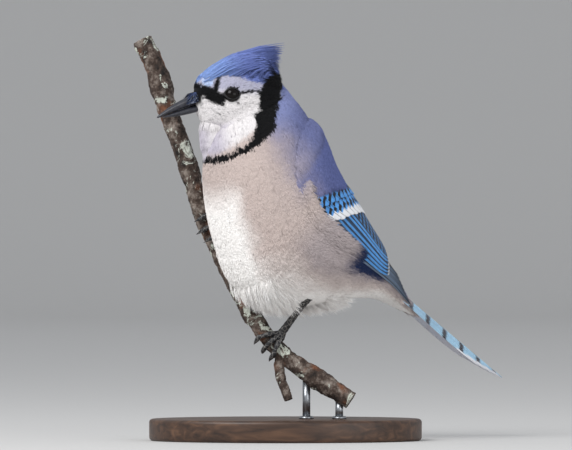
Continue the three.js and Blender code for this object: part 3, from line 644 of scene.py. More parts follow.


# %% [markdown]
# Body feathers are short and dense on the throat and long and loose on the belly. The back
# is sleeker than the breast. What the folded wings hide is left nearly bare. Each row is a
# stretch along the body, the degrees round it, tufts a square millimetre, a barb's length
# and width in millimetres, its rise, the painted shade at its root, how far the tint
# varies, and whether a folded wing lies over part of it.

# %% Body coat
FRONT_SIDE, BACK_SIDE = (84, 276), (-84, 84)
BODY_COATS = {
    "coat_breast": ((0.62, 0.9), FRONT_SIDE, 0.9, 9.0, 0.44, 0.065, 0.92, 0.04, True),
    "coat_belly": ((0.46, 0.62), FRONT_SIDE, 0.85, 11, 0.46, 0.09, 0.95, 0.04, True),
    "coat_belly_low": ((0.3, 0.46), FRONT_SIDE, 0.85, 11, 0.46, 0.09, 0.95, 0.04, True),
    "coat_vent": ((0.03, 0.3), (80, 280), 0.9, 9, 0.44, 0.07, 0.92, 0.05, False),
    "coat_rump": ((0.03, 0.5), BACK_SIDE, 0.9, 8.0, 0.44, 0.06, 0.8, 0.11, True),
    "coat_back": ((0.5, 0.84), BACK_SIDE, 0.9, 8.0, 0.44, 0.06, 0.8, 0.11, True),
    "coat_neck": ((0.84, 1.0), BACK_SIDE, 1.1, 6.8, 0.38, 0.06, 0.85, 0.08, False),
    "coat_throat": ((0.9, 1.0), FRONT_SIDE, 1.1, 6.8, 0.38, 0.06, 0.88, 0.06, False),
}


def wing_cover(t, turn):
    """How far a place lies under a folded wing, from 0 to 1."""
    turn = np.abs(turn)
    low_edge = np.interp(t, [0.1, 0.2, 0.34, 0.42, 0.52, 0.64, 0.72, 0.78], [80, 84, 84, 80, 74, 72, 60, 40])
    high_edge = np.interp(t, [0.1, 0.25, 0.5, 0.64, 0.72, 0.78], [60, 40, 34, 38, 44, 50])
    return smooth(-3, 3, low_edge - turn) * smooth(-3, 3, turn - high_edge) * (t < 0.76) * (t > 0.12)


for name, (along, turns, tufts, length, width, rise, painted_root_shade, tint, winged) in BODY_COATS.items():
    t, a = sow(body_at, lambda t, turn: tufts * (1 - 0.96 * wing_cover(t, turn) * winged), along, turns)
    keep, root, normal, lie = roots_on(body_at, t, a, -1)
    colours = body_colour(root[keep], t[keep], signed(a)[keep])
    shorter = 1 - 0.3 * smooth(0.75, 0.95, t[keep])
    grow(name, root[keep], normal[keep], lie[keep], colours, unwrap_place(t, a)[keep], length * shorter,
         width, fan=13, rise=rise, painted_root_shade=painted_root_shade, tint=tint)

# %% [markdown]
# Below the chin the throat is full: its feathers hang from the jaw to the collar in one
# smooth fall, so they are sown on a form of their own that bridges the neck's hollow.

# %% Throat bib
def bib_at(s, a, lift=0.0):
    ahead = np.interp(s, [0, 0.35, 0.7, 1], [15.0, 15.6, 15.6, 14.5])
    reach = np.interp(s, [0, 0.2, 0.5, 1], [7.6, 8.6, 8.8, 8.4]) + lift
    return in_frame(HEAD, ahead + reach * np.cos(a), 0.92 * reach * np.sin(a), mix(178.5, 157.5, s))


s, a = sow(bib_at, lambda s, turn: 0.4 + 1.1 * smooth(0, 0.3, s), (0, 1), (-115, 115), (60, 80))
root = bib_at(s, a, -0.9)
lie = unit(bib_at(s + 0.02, a) - bib_at(s - 0.02, a))
normal = unit(bib_at(s, a, 4.0) - bib_at(s, a))
x, y, z = frame_coords(HEAD, root)
# The bib's front, near the chin, is painted darker mauve grey as painted shade.
colours = blend(CHEEK, THROAT_FRONT_SHADE, smooth(16, 25, x) * smooth(0.0, 0.35, s))
colours = blend(colours, BLACK, collar_amount(x, z))
grow("coat_bib", root, normal, lie, colours, unwrap_place(0.9 + 0.1 * (1 - s), math.pi + a), 6.2, 0.36,
     fan=13, rise=0.06, curve_radius=60, painted_root_shade=0.88, tint=0.06)

# %% [markdown]
# Under the belly and round the thighs the longest, loosest plumes hang past the outline.
# The near leg comes out in front of them, so none grow right above it.

# %% Belly plumes
def plume_density(t, turn):
    return 0.45 * smooth(48, 20, np.abs(turn - 180))


t, a = sow(body_at, plume_density, (0.3, 0.54), (132, 228), (80, 80))
keep, root, normal, lie = roots_on(body_at, t, a, -1)
hang = -UP - lie * (lie @ -UP)[:, None]
below = 0.12 + 0.88 * smooth(44, 20, np.abs(np.degrees(a) % 360 - 180))
lie = unit(lie + hang * (below * rng.uniform(0.3, 1.0, len(t)))[:, None] + normal * 0.06)
over_leg = (root[:, 0] > 3) & (root[:, 0] < 21) & (root[:, 1] < -7)
keep &= ~over_leg
colours = blend(body_colour(root, t, signed(a)), WHITE, np.full(len(t), 0.2))
grow("belly_plumes", root[keep], normal[keep], lie[keep], colours[keep], unwrap_place(t, a)[keep], 11.0,
     0.36, fan=15, rise=0.1, curve_radius=160, painted_root_shade=0.95, tint=0.06)

# %% [markdown]
# The face gets the finest feathers. They run back from the bill, part round the eye, and are
# a millimetre or two long by the bill and longer on the cheek. Above the crown's edge they
# are blue, longer and streaked, and run on under the crest.

# %% Head coat
def head_density(t, turn):
    return 1.9 - 0.9 * smooth(0.1, 0.7, t)


t, a = sow(head_at, head_density, (0.0, 1.0), (-180, 180), (90, 150))
keep, root, normal, lie = roots_on(head_at, t, a, 1)
x, y, z = frame_coords(HEAD, root)
eye_away = np.hypot(x - EYE[0], z - EYE[2])
opening = np.hypot((x - EYE[0]) / 4.1, (z - EYE[2] + 0.5) / 3.6)
keep &= (opening > 1) | (np.abs(y) < 8)
keep &= (x < 25.2) | (z > 192.5) | (z < 178)
to_eye = np.stack([EYE[0] - x, EYE[2] - z], axis=1) / np.maximum(eye_away, 1e-3)[:, None]
push = np.exp(-((eye_away - 4) / 3.5)) * 0.9
fan_out = unit(np.stack([26.0 - x, z - 187.0], axis=1))
fan_way = -fan_out[:, :1] * HEAD[0][None] + fan_out[:, 1:] * UP[None]
fan_share = smooth(197, 189, z) * smooth(-16, 0, x)
lie = unit(mix(lie, fan_way, 0.85 * fan_share[:, None]))
lie = unit(lie - push[:, None] * (to_eye[:, :1] * HEAD[0][None] + to_eye[:, 1:] * UP[None]))
lie = laid_flat(lie, normal)
crown = smooth(196, 204, z)
by_eye = np.exp(-((eye_away - 4) / 3)).clip(0, 1)
length = mix(2.2, 5.6, smooth(0.05, 0.6, t)) * (1 - 0.45 * by_eye) + 2.2 * crown
colours = head_colour(root)
in_blue = smooth(-0.5, 1.5, z - np.interp(x, CROWN_EDGE[:, 0], CROWN_EDGE[:, 1]))
length = length + 2.4 * in_blue * (1 - crown)
colours = colours * np.where(rng.random(len(x)) < 0.4, 1 - 0.4 * in_blue, 1.0)[:, None]
side_head = keep & (crown < 0.5)
top_head = keep & (crown >= 0.5)
grow("coat_face", root[side_head], normal[side_head], lie[side_head], colours[side_head],
     unwrap_place(t, a)[side_head], length[side_head], 0.34, fan=12, rise=0.1, curve_radius=22,
     painted_root_shade=0.85, tint=0.07, streaks=0.06)
grow("coat_crown", root[top_head], normal[top_head], lie[top_head], colours[top_head],
     unwrap_place(t, a)[top_head], length[top_head], 0.36, fan=11, rise=0.07, curve_radius=40,
     painted_root_shade=0.6, tint=0.16, streaks=0.15, finish=sleek_plumage)

# %% [markdown]
# Crest feathers are long and lie back over each other from the forehead to a point behind
# the crown. Each is a bundle of barbs along a curved line, wide in the middle. Flat vanes
# would look like paper here, because a crest feather's barbs don't hook together.

# %% Crest
CREST_FEATHERS = 560
BARBS = 9
CREST_STEPS = 5
CREST_START, CREST_SPAN = 0.2, 0.58
t = rng.uniform(CREST_START, CREST_START + CREST_SPAN, CREST_FEATHERS)
turn = rng.uniform(-1, 1, CREST_FEATHERS)
a = turn * np.radians(mix(40, 78, t))
root = head_at(t, a, -0.8)
share = (t - CREST_START) / CREST_SPAN
back = mix(-24.5, -19.8, share**0.6) + rng.normal(0, 0.8, CREST_FEATHERS) + 1.5 * np.abs(turn)
height = mix(219.8, 201.0, share**0.85) - 8.0 * np.abs(turn) ** 1.5 * (1 - 0.6 * share)
height = height + rng.normal(0, 0.6, CREST_FEATHERS)
reach = mix(1.0, 0.82, rng.random(CREST_FEATHERS))
tip_full = in_frame(HEAD, back, turn * mix(1.8, 8.6, share), height)
over_head = mix(0.7, 1.0, share) + rng.normal(0, 0.15, CREST_FEATHERS)
middle = head_at(t + 0.55 * (0.86 - t), a * 0.85, over_head)
tip = root + (tip_full - root) * reach[:, None]
index = np.repeat(np.arange(CREST_FEATHERS), BARBS)
spread = np.tile(np.linspace(-1, 1, BARBS), CREST_FEATHERS) + rng.normal(0, 0.12, len(index))
control = 2 * middle - (root + tip) / 2
way = unit(tip - root)
aside = unit(np.cross(way, UP))
over = np.cross(aside, way)
shares = np.linspace(0, 1, CREST_STEPS)
rings = []
for s in shares:
    spot = (1 - s) ** 2 * root + 2 * s * (1 - s) * control + s * s * tip
    bulge = 1.5 * math.sin(math.pi * min(1, 0.15 + 0.72 * s))
    spot = spot[index] + aside[index] * (spread * bulge)[:, None] - over[index] * (0.35 * spread**2)[:, None]
    half = 0.27 * (1 - s) ** 0.5 + 0.02
    rings.append(np.stack([
        spot - aside[index] * half,
        spot + aside[index] * half,
        spot + over[index] * half * 0.8,
    ], axis=1))
points = np.concatenate(rings, axis=1)
cage = []
for k in range(CREST_STEPS - 1):
    for i in range(3):
        p, q = 3 * k + i, 3 * k + (i + 1) % 3
        cage += [(p, q, p + 3), (q, q + 3, p + 3)]
cage += [(0, 2, 1), (3 * CREST_STEPS - 3, 3 * CREST_STEPS - 2, 3 * CREST_STEPS - 1)]
faces = (np.arange(len(index))[:, None, None] * 3 * CREST_STEPS + np.array(cage)[None]).reshape(-1, 3)
x, y, z = frame_coords(HEAD, points.reshape(-1, 3))
tone = blend(CREST_BLUE, CROWN_FRONT, smooth(0, 20, x))
low_rear = smooth(-9, -15, x) * smooth(208, 202.5, z + rng.normal(0, 1.2, len(x)))
tone = blend(tone, BLACK, low_rear)
streak = np.repeat(rng.normal(1, 0.16, len(index)).clip(0.55, 1.4), 3 * CREST_STEPS)
# Each crest barb is painted from 0.8 at its root to 1.1 at its tip: painted shade where it goes in among the
# others, and painted light towards its tip.
tone = tone * streak[:, None] * np.tile(np.repeat(mix(0.8, 1.1, shares), 3), len(index))[:, None]
patch = np.tile(np.stack([np.tile([0, 1, 0.5], CREST_STEPS), np.repeat(shares, 3)], axis=1), (len(index), 1))
uv = np.repeat(unwrap_place(t, a)[index] * 0.99, 3 * CREST_STEPS, axis=0) + patch * PATCH
crest_mesh = array_mesh("crest_feathers", points.reshape(-1, 3), faces, uv, tone)
add_piece("crest_feathers", crest_mesh, sleek_plumage, ())
print("crest triangles", len(faces))

# %% [markdown]
# Flight feathers are flat vanes on a stiff shaft. One vane is modelled once as a grid with
# a thickness, and every feather is that vane bent onto its own line. Its map runs across
# and along it, so the shader can draw bars at right angles to the shaft.

# %% One vane
VANE_ACROSS, VANE_ALONG = 6, 18
VANE_EASE = 1.15
vane_bm = bmesh.new()
bmesh.ops.create_grid(vane_bm, x_segments=VANE_ACROSS, y_segments=VANE_ALONG, size=1)
bmesh.ops.solidify(vane_bm, geom=vane_bm.faces[:], thickness=0.1)
bmesh.ops.triangulate(vane_bm, faces=vane_bm.faces[:])
bmesh.ops.recalc_face_normals(vane_bm, faces=vane_bm.faces)
vane_bm.verts.ensure_lookup_table()
vane_points = np.array([v.co for v in vane_bm.verts])
vane_faces = np.array([[v.index for v in f.verts] for f in vane_bm.faces])
vane_bm.free()
across_grid = vane_points[:, 0]
along_grid = 1 - (1 - (vane_points[:, 1] + 1) / 2) ** VANE_EASE
upper = vane_points[:, 2] > vane_points[:, 2].mean()
print("a vane has", len(vane_faces), "triangles")


def round_tip(s):
    return np.sqrt(np.clip(1 - (np.maximum(0, s - 0.76) / 0.245) ** 2, 0.02, 1))


def point_tip(s):
    return np.clip(1 - (np.maximum(0, s - 0.35) / 0.68) ** 1.9, 0.04, 1)


VANE_MARKS = {"bars": 0.0, "bar_count": 0.0, "bar_wide": 0.25, "white_tip": 0.0, "edge_blue": 0.0}


def vane_piece(name, feathers, material, nodes):
    """feathers: dicts of line(s, across) in mm, thick, flip, colour and the marks that differ."""
    total = len(vane_points)
    blocks, attributes, uvs = [], [], []
    columns = math.ceil(math.sqrt(len(feathers)))
    s = along_grid
    for k, f in enumerate(feathers):
        spot = f["line"](s, across_grid)
        ahead, behind = np.minimum(s + 0.01, 1), np.maximum(s - 0.01, 0)
        left, right = np.minimum(across_grid + 0.05, 1), np.maximum(across_grid - 0.05, -1)
        along = f["line"](ahead, across_grid) - f["line"](behind, across_grid)
        aside = f["line"](s, left) - f["line"](s, right)
        n = unit(np.cross(along, aside)) * f["flip"]
        ridge = np.exp(-((across_grid / 0.12) ** 2)) * 0.22 * (1 - 0.8 * s)
        half = np.where(upper, 1, -1) * (f["thick"] / 2 + ridge)
        blocks.append(spot + n * half[:, None])
        attributes.append(np.tile(f["colour"], (total, 1)))
        cell = np.array([k % columns, k // columns], float)
        local = np.stack([(across_grid + 1) * 0.23 + np.where(upper, 0, 0.5), s * 0.96], axis=1)
        uvs.append((cell + 0.02 + local * 0.96) / columns)
    points = np.concatenate(blocks)
    turned = [vane_faces if f["flip"] < 0 else vane_faces[:, ::-1] for f in feathers]
    faces = np.concatenate([k * total + one for k, one in enumerate(turned)])
    mesh = array_mesh(name, points, faces, np.concatenate(uvs), np.concatenate(attributes))
    vane_map = np.tile(np.stack([across_grid, along_grid], axis=1), (len(feathers), 1))
    layer = mesh.uv_layers.new(name="vane")
    layer.data.foreach_set("uv", vane_map[faces.ravel()].astype(np.float32).ravel())
    marks = {"underside": np.tile(np.where(upper, 0.0, 1.0), len(feathers))}
    for key, usual in VANE_MARKS.items():
        marks[key] = np.concatenate([np.full(total, f.get(key, usual)) for f in feathers])
    for key, values in marks.items():
        made = mesh.attributes.new(key, "FLOAT", "POINT")
        made.data.foreach_set("value", values.astype(np.float32))
    mesh.uv_layers["OFBake"].active_render = True
    add_piece(name, mesh, material, nodes)
    print(name, "feathers", len(feathers), "triangles", len(faces))


# %% [markdown]
# A barred vane. Black bars cross the blue web, each a little slanted from the shaft, the
# tip may be white, the hidden inner web is dusky, and the underside is plain grey. The
# barbs hook together, so a vane is smoother than the body's plumage. They are 0.35 mm apart
# on the real feather, and are drawn 0.6 to 2 mm apart so that they show.

# %% Barred vane finish
barred_vane, tree, shader = new_material(
    "barred_flight_vane", {"Roughness": 0.5, "Sheen Weight": 0.02, "Specular IOR Level": 0.35})
mark = {}
for key in (*VANE_MARKS, "underside"):
    mark[key] = node(tree, "ShaderNodeAttribute", output="Fac", attribute_name=key)
vane_map = node(tree, "ShaderNodeUVMap", uv_map="vane")
u = node(tree, "ShaderNodeSeparateXYZ", [vane_map])
v = u.node.outputs["Y"]
off_shaft = node(tree, MATH, [u], operation="ABSOLUTE")

# %% Bars, with a ragged edge
# A noise of scale 900 is about 1.1 mm across, the size of the steps in a bar's edge.
object_at = node(tree, "ShaderNodeTexCoord", output="Object")
ragged = node(tree, NOISE, {"Vector": object_at, "Scale": 900, "Detail": 2})
ragged = node(tree, MATH, [ragged, 0.5], operation="SUBTRACT")
ragged = node(tree, MATH, [ragged, 0.175], operation="MULTIPLY")
slant = node(tree, MATH, [off_shaft, 0.25], operation="MULTIPLY")
phase = node(tree, MATH, [v, mark["bar_count"]], operation="MULTIPLY")
phase = node(tree, MATH, [phase, slant], operation="SUBTRACT")
phase = node(tree, MATH, [phase, ragged], operation="ADD")
phase = node(tree, MATH, [phase], operation="FRACT")
wave = node(tree, MATH, [phase, 0.5], operation="SUBTRACT")
wave = node(tree, MATH, [wave], operation="ABSOLUTE")
bar = node(tree, MATH, [mark["bar_wide"], wave], operation="SUBTRACT")
bar = node(tree, MATH, [bar, 16.0], operation="MULTIPLY", use_clamp=True)
bar = node(tree, MATH, [bar, mark["bars"]], operation="MULTIPLY")

# %% Inner web, white tip, shaft and underside
inner = node(tree, MATH, [0.74, u], operation="SUBTRACT")
inner = node(tree, MATH, [inner, 6.0], operation="MULTIPLY", use_clamp=True)
inner = node(tree, MATH, [inner, mark["edge_blue"]], operation="MULTIPLY")
white_from = node(tree, MATH, [1.0, mark["white_tip"]], operation="SUBTRACT")
white = node(tree, MATH, [v, white_from], operation="SUBTRACT")
white = node(tree, MATH, [white, 40.0], operation="MULTIPLY", use_clamp=True)
shaft = node(tree, MATH, [0.07, off_shaft], operation="SUBTRACT")
shaft = node(tree, MATH, [shaft, 30.0], operation="MULTIPLY", use_clamp=True)
shaft = node(tree, MATH, [shaft, 0.75], operation="MULTIPLY")
under = node(tree, MATH, [mark["underside"], 0.9], operation="MULTIPLY")

# %% The vane's colour and its fine barbs
# The streaks follow the vane's map, and are about half a millimetre wide.
streak = node(tree, NOISE, {"Vector": vane_map, "Scale": 9.0, "Detail": 3})
streak = node(tree, MATH, [streak, 0.76], operation="MULTIPLY")
streak = node(tree, MATH, [0.62, streak], operation="ADD")
colour = node(tree, "ShaderNodeAttribute", output="Color", attribute_name="plumage")
colour = node(tree, "ShaderNodeHueSaturation", {"Color": colour, "Value": streak})
LAYERS = [(inner, "#191b24"), (bar, "#0b0c12"), (white, "#f1f2f5"), (shaft, "#15161c"), (under, "#c8c8d4")]
for amount, hexed in LAYERS:
    colour = node(tree, MIX, {SHARE: amount, UNDER: colour, OVER: linear(hexed)}, MIXED, data_type="RGBA")
tree.links.new(colour, shader.inputs["Base Color"])
barbs = node(tree, MATH, [off_shaft, 0.12], operation="MULTIPLY")
barbs = node(tree, MATH, [v, barbs], operation="SUBTRACT")
barbs = node(tree, MATH, [barbs, 320.0], operation="MULTIPLY")
barbs = node(tree, MATH, [barbs], operation="SINE")
raised = node(tree, BUMP, {"Height": barbs, "Strength": 0.5, "Distance": 0.12 * MM})
tree.links.new(raised, shader.inputs["Normal"])
print("vane finish nodes", len(tree.nodes))

# %% [markdown]
# The folded wing is laid in rows, the long primaries lowest and the coverts on top. A row
# runs evenly from its first feather to its last: where each feather roots and ends on the
# body, as a share along it and degrees round it. The innermost secondaries, from the share
# given as tertials, are darker and barred across.

# %% Wing rows
COVERT_BLUE = pigment("#55a0ea")
SECONDARY_BLUE = pigment("#559fe6")
PRIMARY_BLUE = pigment("#6b7d94")
SCAPULAR = pigment("#5c6699")
WING_ROWS = [
    dict(count=9, root0=(0.50, 84), tip0=(0.07, 95), root1=(0.48, 70), tip1=(0.17, 66),
         width=(6.5, 7.5), lift=(0.6, 1.5), shape=point_tip, bow=-3, colour=PRIMARY_BLUE,
         bars=0.0, bar_count=18, edge_blue=1.0),
    dict(count=10, root0=(0.48, 78), tip0=(0.21, 84), root1=(0.50, 34), tip1=(0.24, 33),
         width=(8, 10.5), lift=(1.3, 2.3), shape=round_tip, bow=0, colour=SECONDARY_BLUE,
         bars=0.12, bar_count=11, white_tip=0.03, edge_blue=0.9, tertials=0.6),
    dict(count=10, root0=(0.59, 85), tip0=(0.49, 79), root1=(0.5, 34), tip1=(0.345, 31),
         width=(7.5, 8.5), lift=(2.0, 2.3), shape=round_tip, bow=0, colour=COVERT_BLUE,
         bars=1.0, bar_count=4.2, white_tip=0.28),
    dict(count=9, root0=(0.64, 84), tip0=(0.55, 80), root1=(0.55, 36), tip1=(0.42, 32),
         width=(7.5, 8), lift=(2.5, 2.5), shape=round_tip, bow=0, colour=COVERT_BLUE * 0.9,
         bars=1.0, bar_count=3.4),
]


def wing_line(side, root, tip, width, low, high, shape, bow, roll=0.3):
    def line(s, across):
        t = mix(root[0], tip[0], s)
        turn = mix(root[1], tip[1], s) + bow * np.sin(math.pi * s)
        lift = mix(low, high, s) + across * roll - 0.35 * across**2
        a = side * np.radians(turn)
        spot = body_at(t, a, lift)
        aside = unit(body_at(t, a + side * 0.05, lift) - body_at(t, a - side * 0.05, lift))
        return spot + aside * (across * 0.5 * width * shape(s))[:, None]

    return line


def wing_feathers(side):
    feathers = []
    for row in WING_ROWS:
        for i in range(row["count"]):
            k = i / (row["count"] - 1)
            wobble = rng.normal(0, 0.6)
            between = lambda a, b: (mix(a[0], b[0], k), mix(a[1], b[1], k) + wobble)
            lift = mix(*row["lift"], k)
            line = wing_line(side, between(row["root0"], row["root1"]), between(row["tip0"], row["tip1"]),
                             mix(*row["width"], k), lift - 1.6, lift, row["shape"], row["bow"])
            made = {**row, "line": line, "thick": 0.3, "flip": -side}
            made["colour"] = row["colour"] * rng.normal(1, 0.07)
            if k > row.get("tertials", 1.0):
                made.update(bars=1.0, bar_count=13, edge_blue=0.4, colour=made["colour"] * 0.6)
            feathers.append(made)
    return feathers


vane_piece("wing_left_vanes", wing_feathers(1), barred_vane, ["wing_left"])
vane_piece("wing_right_vanes", wing_feathers(-1), barred_vane, ["wing_right"])

# %% [markdown]
# Small feathers cover the shoulder and hide where the coverts root. They are the back's
# violet blue, and run on from the mantle with no edge.

# %% Shoulder coat
def shoulder_lift(t, turn):
    out = ((t - 0.625) / np.where(t > 0.625, 0.15, 0.24)) ** 2 + ((np.abs(turn) - 52) / 43) ** 2
    return 3.9 * np.clip(1 - out, 0, 1) ** 0.5 * smooth(0.78, 0.69, t)


def shoulder_rear(turn):
    return np.interp(np.abs(turn), [25, 40, 55, 90], [0.445, 0.48, 0.535, 0.635])


def shoulder_density(t, turn):
    return 1.15 * (shoulder_lift(t, turn) > 0.02) * (t > shoulder_rear(turn))


for side, name in ((1, "left"), (-1, "right")):
    turns = (14, 92) if side > 0 else (-92, -14)
    t, a = sow(body_at, shoulder_density, (0.43, 0.79), turns, (80, 80))
    turn = np.degrees(a)
    root = body_at(t, a, shoulder_lift(t, turn) - 1.1)
    ahead = body_at(t - 0.01, a, shoulder_lift(t - 0.01, turn) - 1.1)
    aside = body_at(t, a + 0.02, shoulder_lift(t, turn + 1.15) - 1.1)
    lie = unit(ahead - root)
    normal = unit(np.cross(lie, aside - root))
    normal *= np.sign((normal * (body_at(t, a, 5.0) - body_at(t, a))).sum(1))[:, None]
    colours = blend(body_colour(root, t, a), SCAPULAR, 0.75 * smooth(0.72, 0.66, t))
    grow(f"coat_shoulder_{name}", root, normal, lie, colours, unwrap_place(t, a), 6.5, 0.6, fan=20,
         rise=0.09, painted_root_shade=0.6, tint=0.1)

# %% [markdown]
# Along each flank longer, looser feathers fall over the edge of the folded wing.

# %% Flank fringe
def flank_lift(t, turn):
    """How far the fringe stands off the body: over the wing's edge, and down again below it."""
    return 3.9 * smooth(0.72, 0.62, t) * smooth(0.3, 0.42, t) * np.exp(-(((turn - 84) / 9.0) ** 2))


for side, name in ((1, "left"), (-1, "right")):
    turns = (74, 108) if side > 0 else (-108, -74)
    t, a = sow(body_at, lambda t, turn: 0.95 + 0 * t, (0.36, 0.76), turns, (100, 60))
    turn = np.abs(np.degrees(a))
    use = turn > np.interp(t, [0.36, 0.5, 0.62, 0.76], [85, 84, 88, 78])
    t, a, turn = t[use], a[use], turn[use]
    root = body_at(t, a, flank_lift(t, turn) - 1.2)
    ahead = body_at(t - 0.02, a - side * 0.035, flank_lift(t - 0.02, turn - 2.0) - 1.0)
    lie = unit(ahead - root)
    normal = unit(body_at(t, a, 6.0) - body_at(t, a, 0.0))
    lie = laid_flat(lie, normal, 0.5)
    colours = body_colour(root, t, a)
    grow(f"coat_flank_{name}", root, normal, lie, colours, unwrap_place(t, a), 8.5, 0.6, fan=20,
         rise=0.12, painted_root_shade=0.75, tint=0.06)

# %% [markdown]
# Twelve tail feathers close like a fan over a shallow arch. The middle pair lies on top.
# Each is blue with black bars, its blue painted pale as painted light from above, and the outer ones end in
# white.

# %% Tail
BAR_SPACING = 13.7
TAIL_LENGTH = 114
TAIL_ARCH = 0.02
TAIL_ROLL = math.radians(-15)
# The tail's own blue, painted pale as painted light falling from above on its outer webs.
TAIL_BLUE_AND_PAINTED_LIGHT = pigment("#aad6ee")
tail_root = in_frame(BODY, -50.0, 0.0, 99.0)
tail_tip = in_frame(BODY, -142.6, 0.0, 34.3)
tail_way = unit(tail_tip - tail_root)
tail_up = upward(unit(np.cross(tail_way, BODY[1])))
tail_side = BODY[1] * math.cos(TAIL_ROLL) + tail_up * math.sin(TAIL_ROLL)
tail_up = tail_up * math.cos(TAIL_ROLL) - BODY[1] * math.sin(TAIL_ROLL)


def feather_length(rank):
    return TAIL_LENGTH - 1.2 * rank - 0.5 * rank**2


def tail_line(side, rank):
    length = feather_length(rank)
    middle_root, middle_tip = side * (0.8 + 0.55 * rank), side * (1.4 + 1.15 * rank)
    below = 0.45 * rank + (0.22 if side < 0 else 0)

    def line(s, across):
        wide = mix(3.2, 5.3, np.minimum(1, s * 2.2)) * round_tip(s)
        aside = (mix(middle_root, middle_tip, s) + across * wide)[:, None]
        drop = TAIL_ARCH * aside**2 * np.minimum(1, 0.35 + s)[:, None] + below
        return tail_root + (s * length)[:, None] * tail_way + aside * tail_side - drop * tail_up

    return line


tail_feathers = []
for rank in range(5, -1, -1):
    for side in (1, -1):
        tail_feathers.append(dict(
            line=tail_line(side, rank), thick=0.4, flip=-1, colour=TAIL_BLUE_AND_PAINTED_LIGHT * rng.normal(1, 0.04),
            bars=1.0, bar_wide=0.15, bar_count=feather_length(rank) / BAR_SPACING,
            white_tip=0.05 + 0.035 * rank if rank else 0.0))
vane_piece("tail_vanes", tail_feathers, barred_vane, ["tail"])

# %% [markdown]
# The bill is two sheaths of horn that close along the line of the mouth. Horn is keratin,
# worn smooth and half glossy on the bill, and scaled on the legs, with pale lines where two
# scales meet. The eyes are wet spheres set in a dark rim of lid skin.

# %% Horn and eye finishes
def horn_finish(name, hexed, roughness, scaled=False):
    material, tree, shader = new_material(name, {"Roughness": roughness})
    at = node(tree, "ShaderNodeTexCoord", output="Object")
    # The grain is about 1.4 mm across, coarser than real horn's, so that it shows.
    grain = node(tree, NOISE, {"Vector": at, "Scale": 700, "Detail": 4})
    light = (*(min(1, c * 2.4 + 0.01) for c in linear(hexed)[:3]), 1.0)
    colour = node(tree, RAMP, [grain], stops=[(0.3, hexed), (0.75, light)])
    if scaled:
        # Scutes about 2 mm across, as on the real shank.
        edge = node(tree, "ShaderNodeTexVoronoi", {"Vector": at, "Scale": 480}, feature="DISTANCE_TO_EDGE")
        seam = node(tree, MATH, [0.055, edge], operation="SUBTRACT")
        seam = node(tree, MATH, [seam, 30.0], operation="MULTIPLY", use_clamp=True)
        seam = node(tree, MATH, [seam, 0.6], operation="MULTIPLY")
        layer = {SHARE: seam, UNDER: colour, OVER: linear("#a09c96")}
        colour = node(tree, MIX, layer, MIXED, data_type="RGBA")
    tree.links.new(colour, shader.inputs["Base Color"])
    raised = node(tree, BUMP, {"Height": grain, "Strength": 0.5, "Distance": 0.08 * MM})
    tree.links.new(raised, shader.inputs["Normal"])
    return material


bill_horn = horn_finish("slate_bill_horn", "#1c1d24", 0.36)
scaly_horn = horn_finish("scaled_leg_horn", "#0d0d10", 0.5, scaled=True)
lid_skin = horn_finish("dark_lid_skin", "#08080a", 0.65)
# A cornea's index is 1.376, and a wet dark iris gives small bright points of light.
wet_iris = {"Base Color": linear("#0a0504"), "Roughness": 0.05, "Specular IOR Level": 0.3, "IOR": 1.376}
eye_gloss, _, _ = new_material("wet_eye", wet_iris)

# %% Bill
BILL_LENGTH = 25
BILL_SUNK = 3
bill_root = in_frame(HEAD, 24.5, 0.0, 184.9)
bill_tip = in_frame(HEAD, 47.3, 0.0, 177.6)
bill_way = unit(bill_tip - bill_root)
bill_up = upward(unit(np.cross(HEAD[1], bill_way)))
SHEATHS = {
    "bill_upper": dict(
        top=lambda s: 0.2 + 5.6 * (1 - s**2.1),
        bottom=lambda s: 0.13 - 0.9 * s**3,
        half=lambda s: 4.3 * (1 - s) ** 0.75 + 0.25,
        length=BILL_LENGTH + BILL_SUNK,
    ),
    "bill_lower": dict(
        top=lambda s: 0.12 - 0.95 * s**3,
        bottom=lambda s: -0.25 - 3.9 * (1 - s**2.4) - 0.5 * s**3,
        half=lambda s: 3.9 * (1 - s) ** 0.7 + 0.15,
        length=BILL_LENGTH + BILL_SUNK - 2,
    ),
}


def bill_place(top, bottom, half, length):
    def place(share, angle, pole):
        at = bill_root + bill_way * mix(-BILL_SUNK, length - BILL_SUNK, share)
        up, down = top(share), bottom(share)
        if pole:
            return at + bill_up * (up + down) / 2
        pinch = 1 - 0.25 * max(0.0, math.cos(angle)) ** 2
        rise = bill_up * ((up + down) / 2 + math.cos(angle) * (up - down) / 2)
        return at + rise + HEAD[1] * math.sin(angle) * half(share) * pinch

    return place


for name, form in SHEATHS.items():
    bill_bm = bmesh.new()
    mapped_ball(bill_bm, 40, 40, bill_place(**form))
    add_piece(f"{name}_horn", mesh_from(bill_bm, f"{name}_horn"), bill_horn, [name])
print("bill reach", np.round(bill_tip, 1))

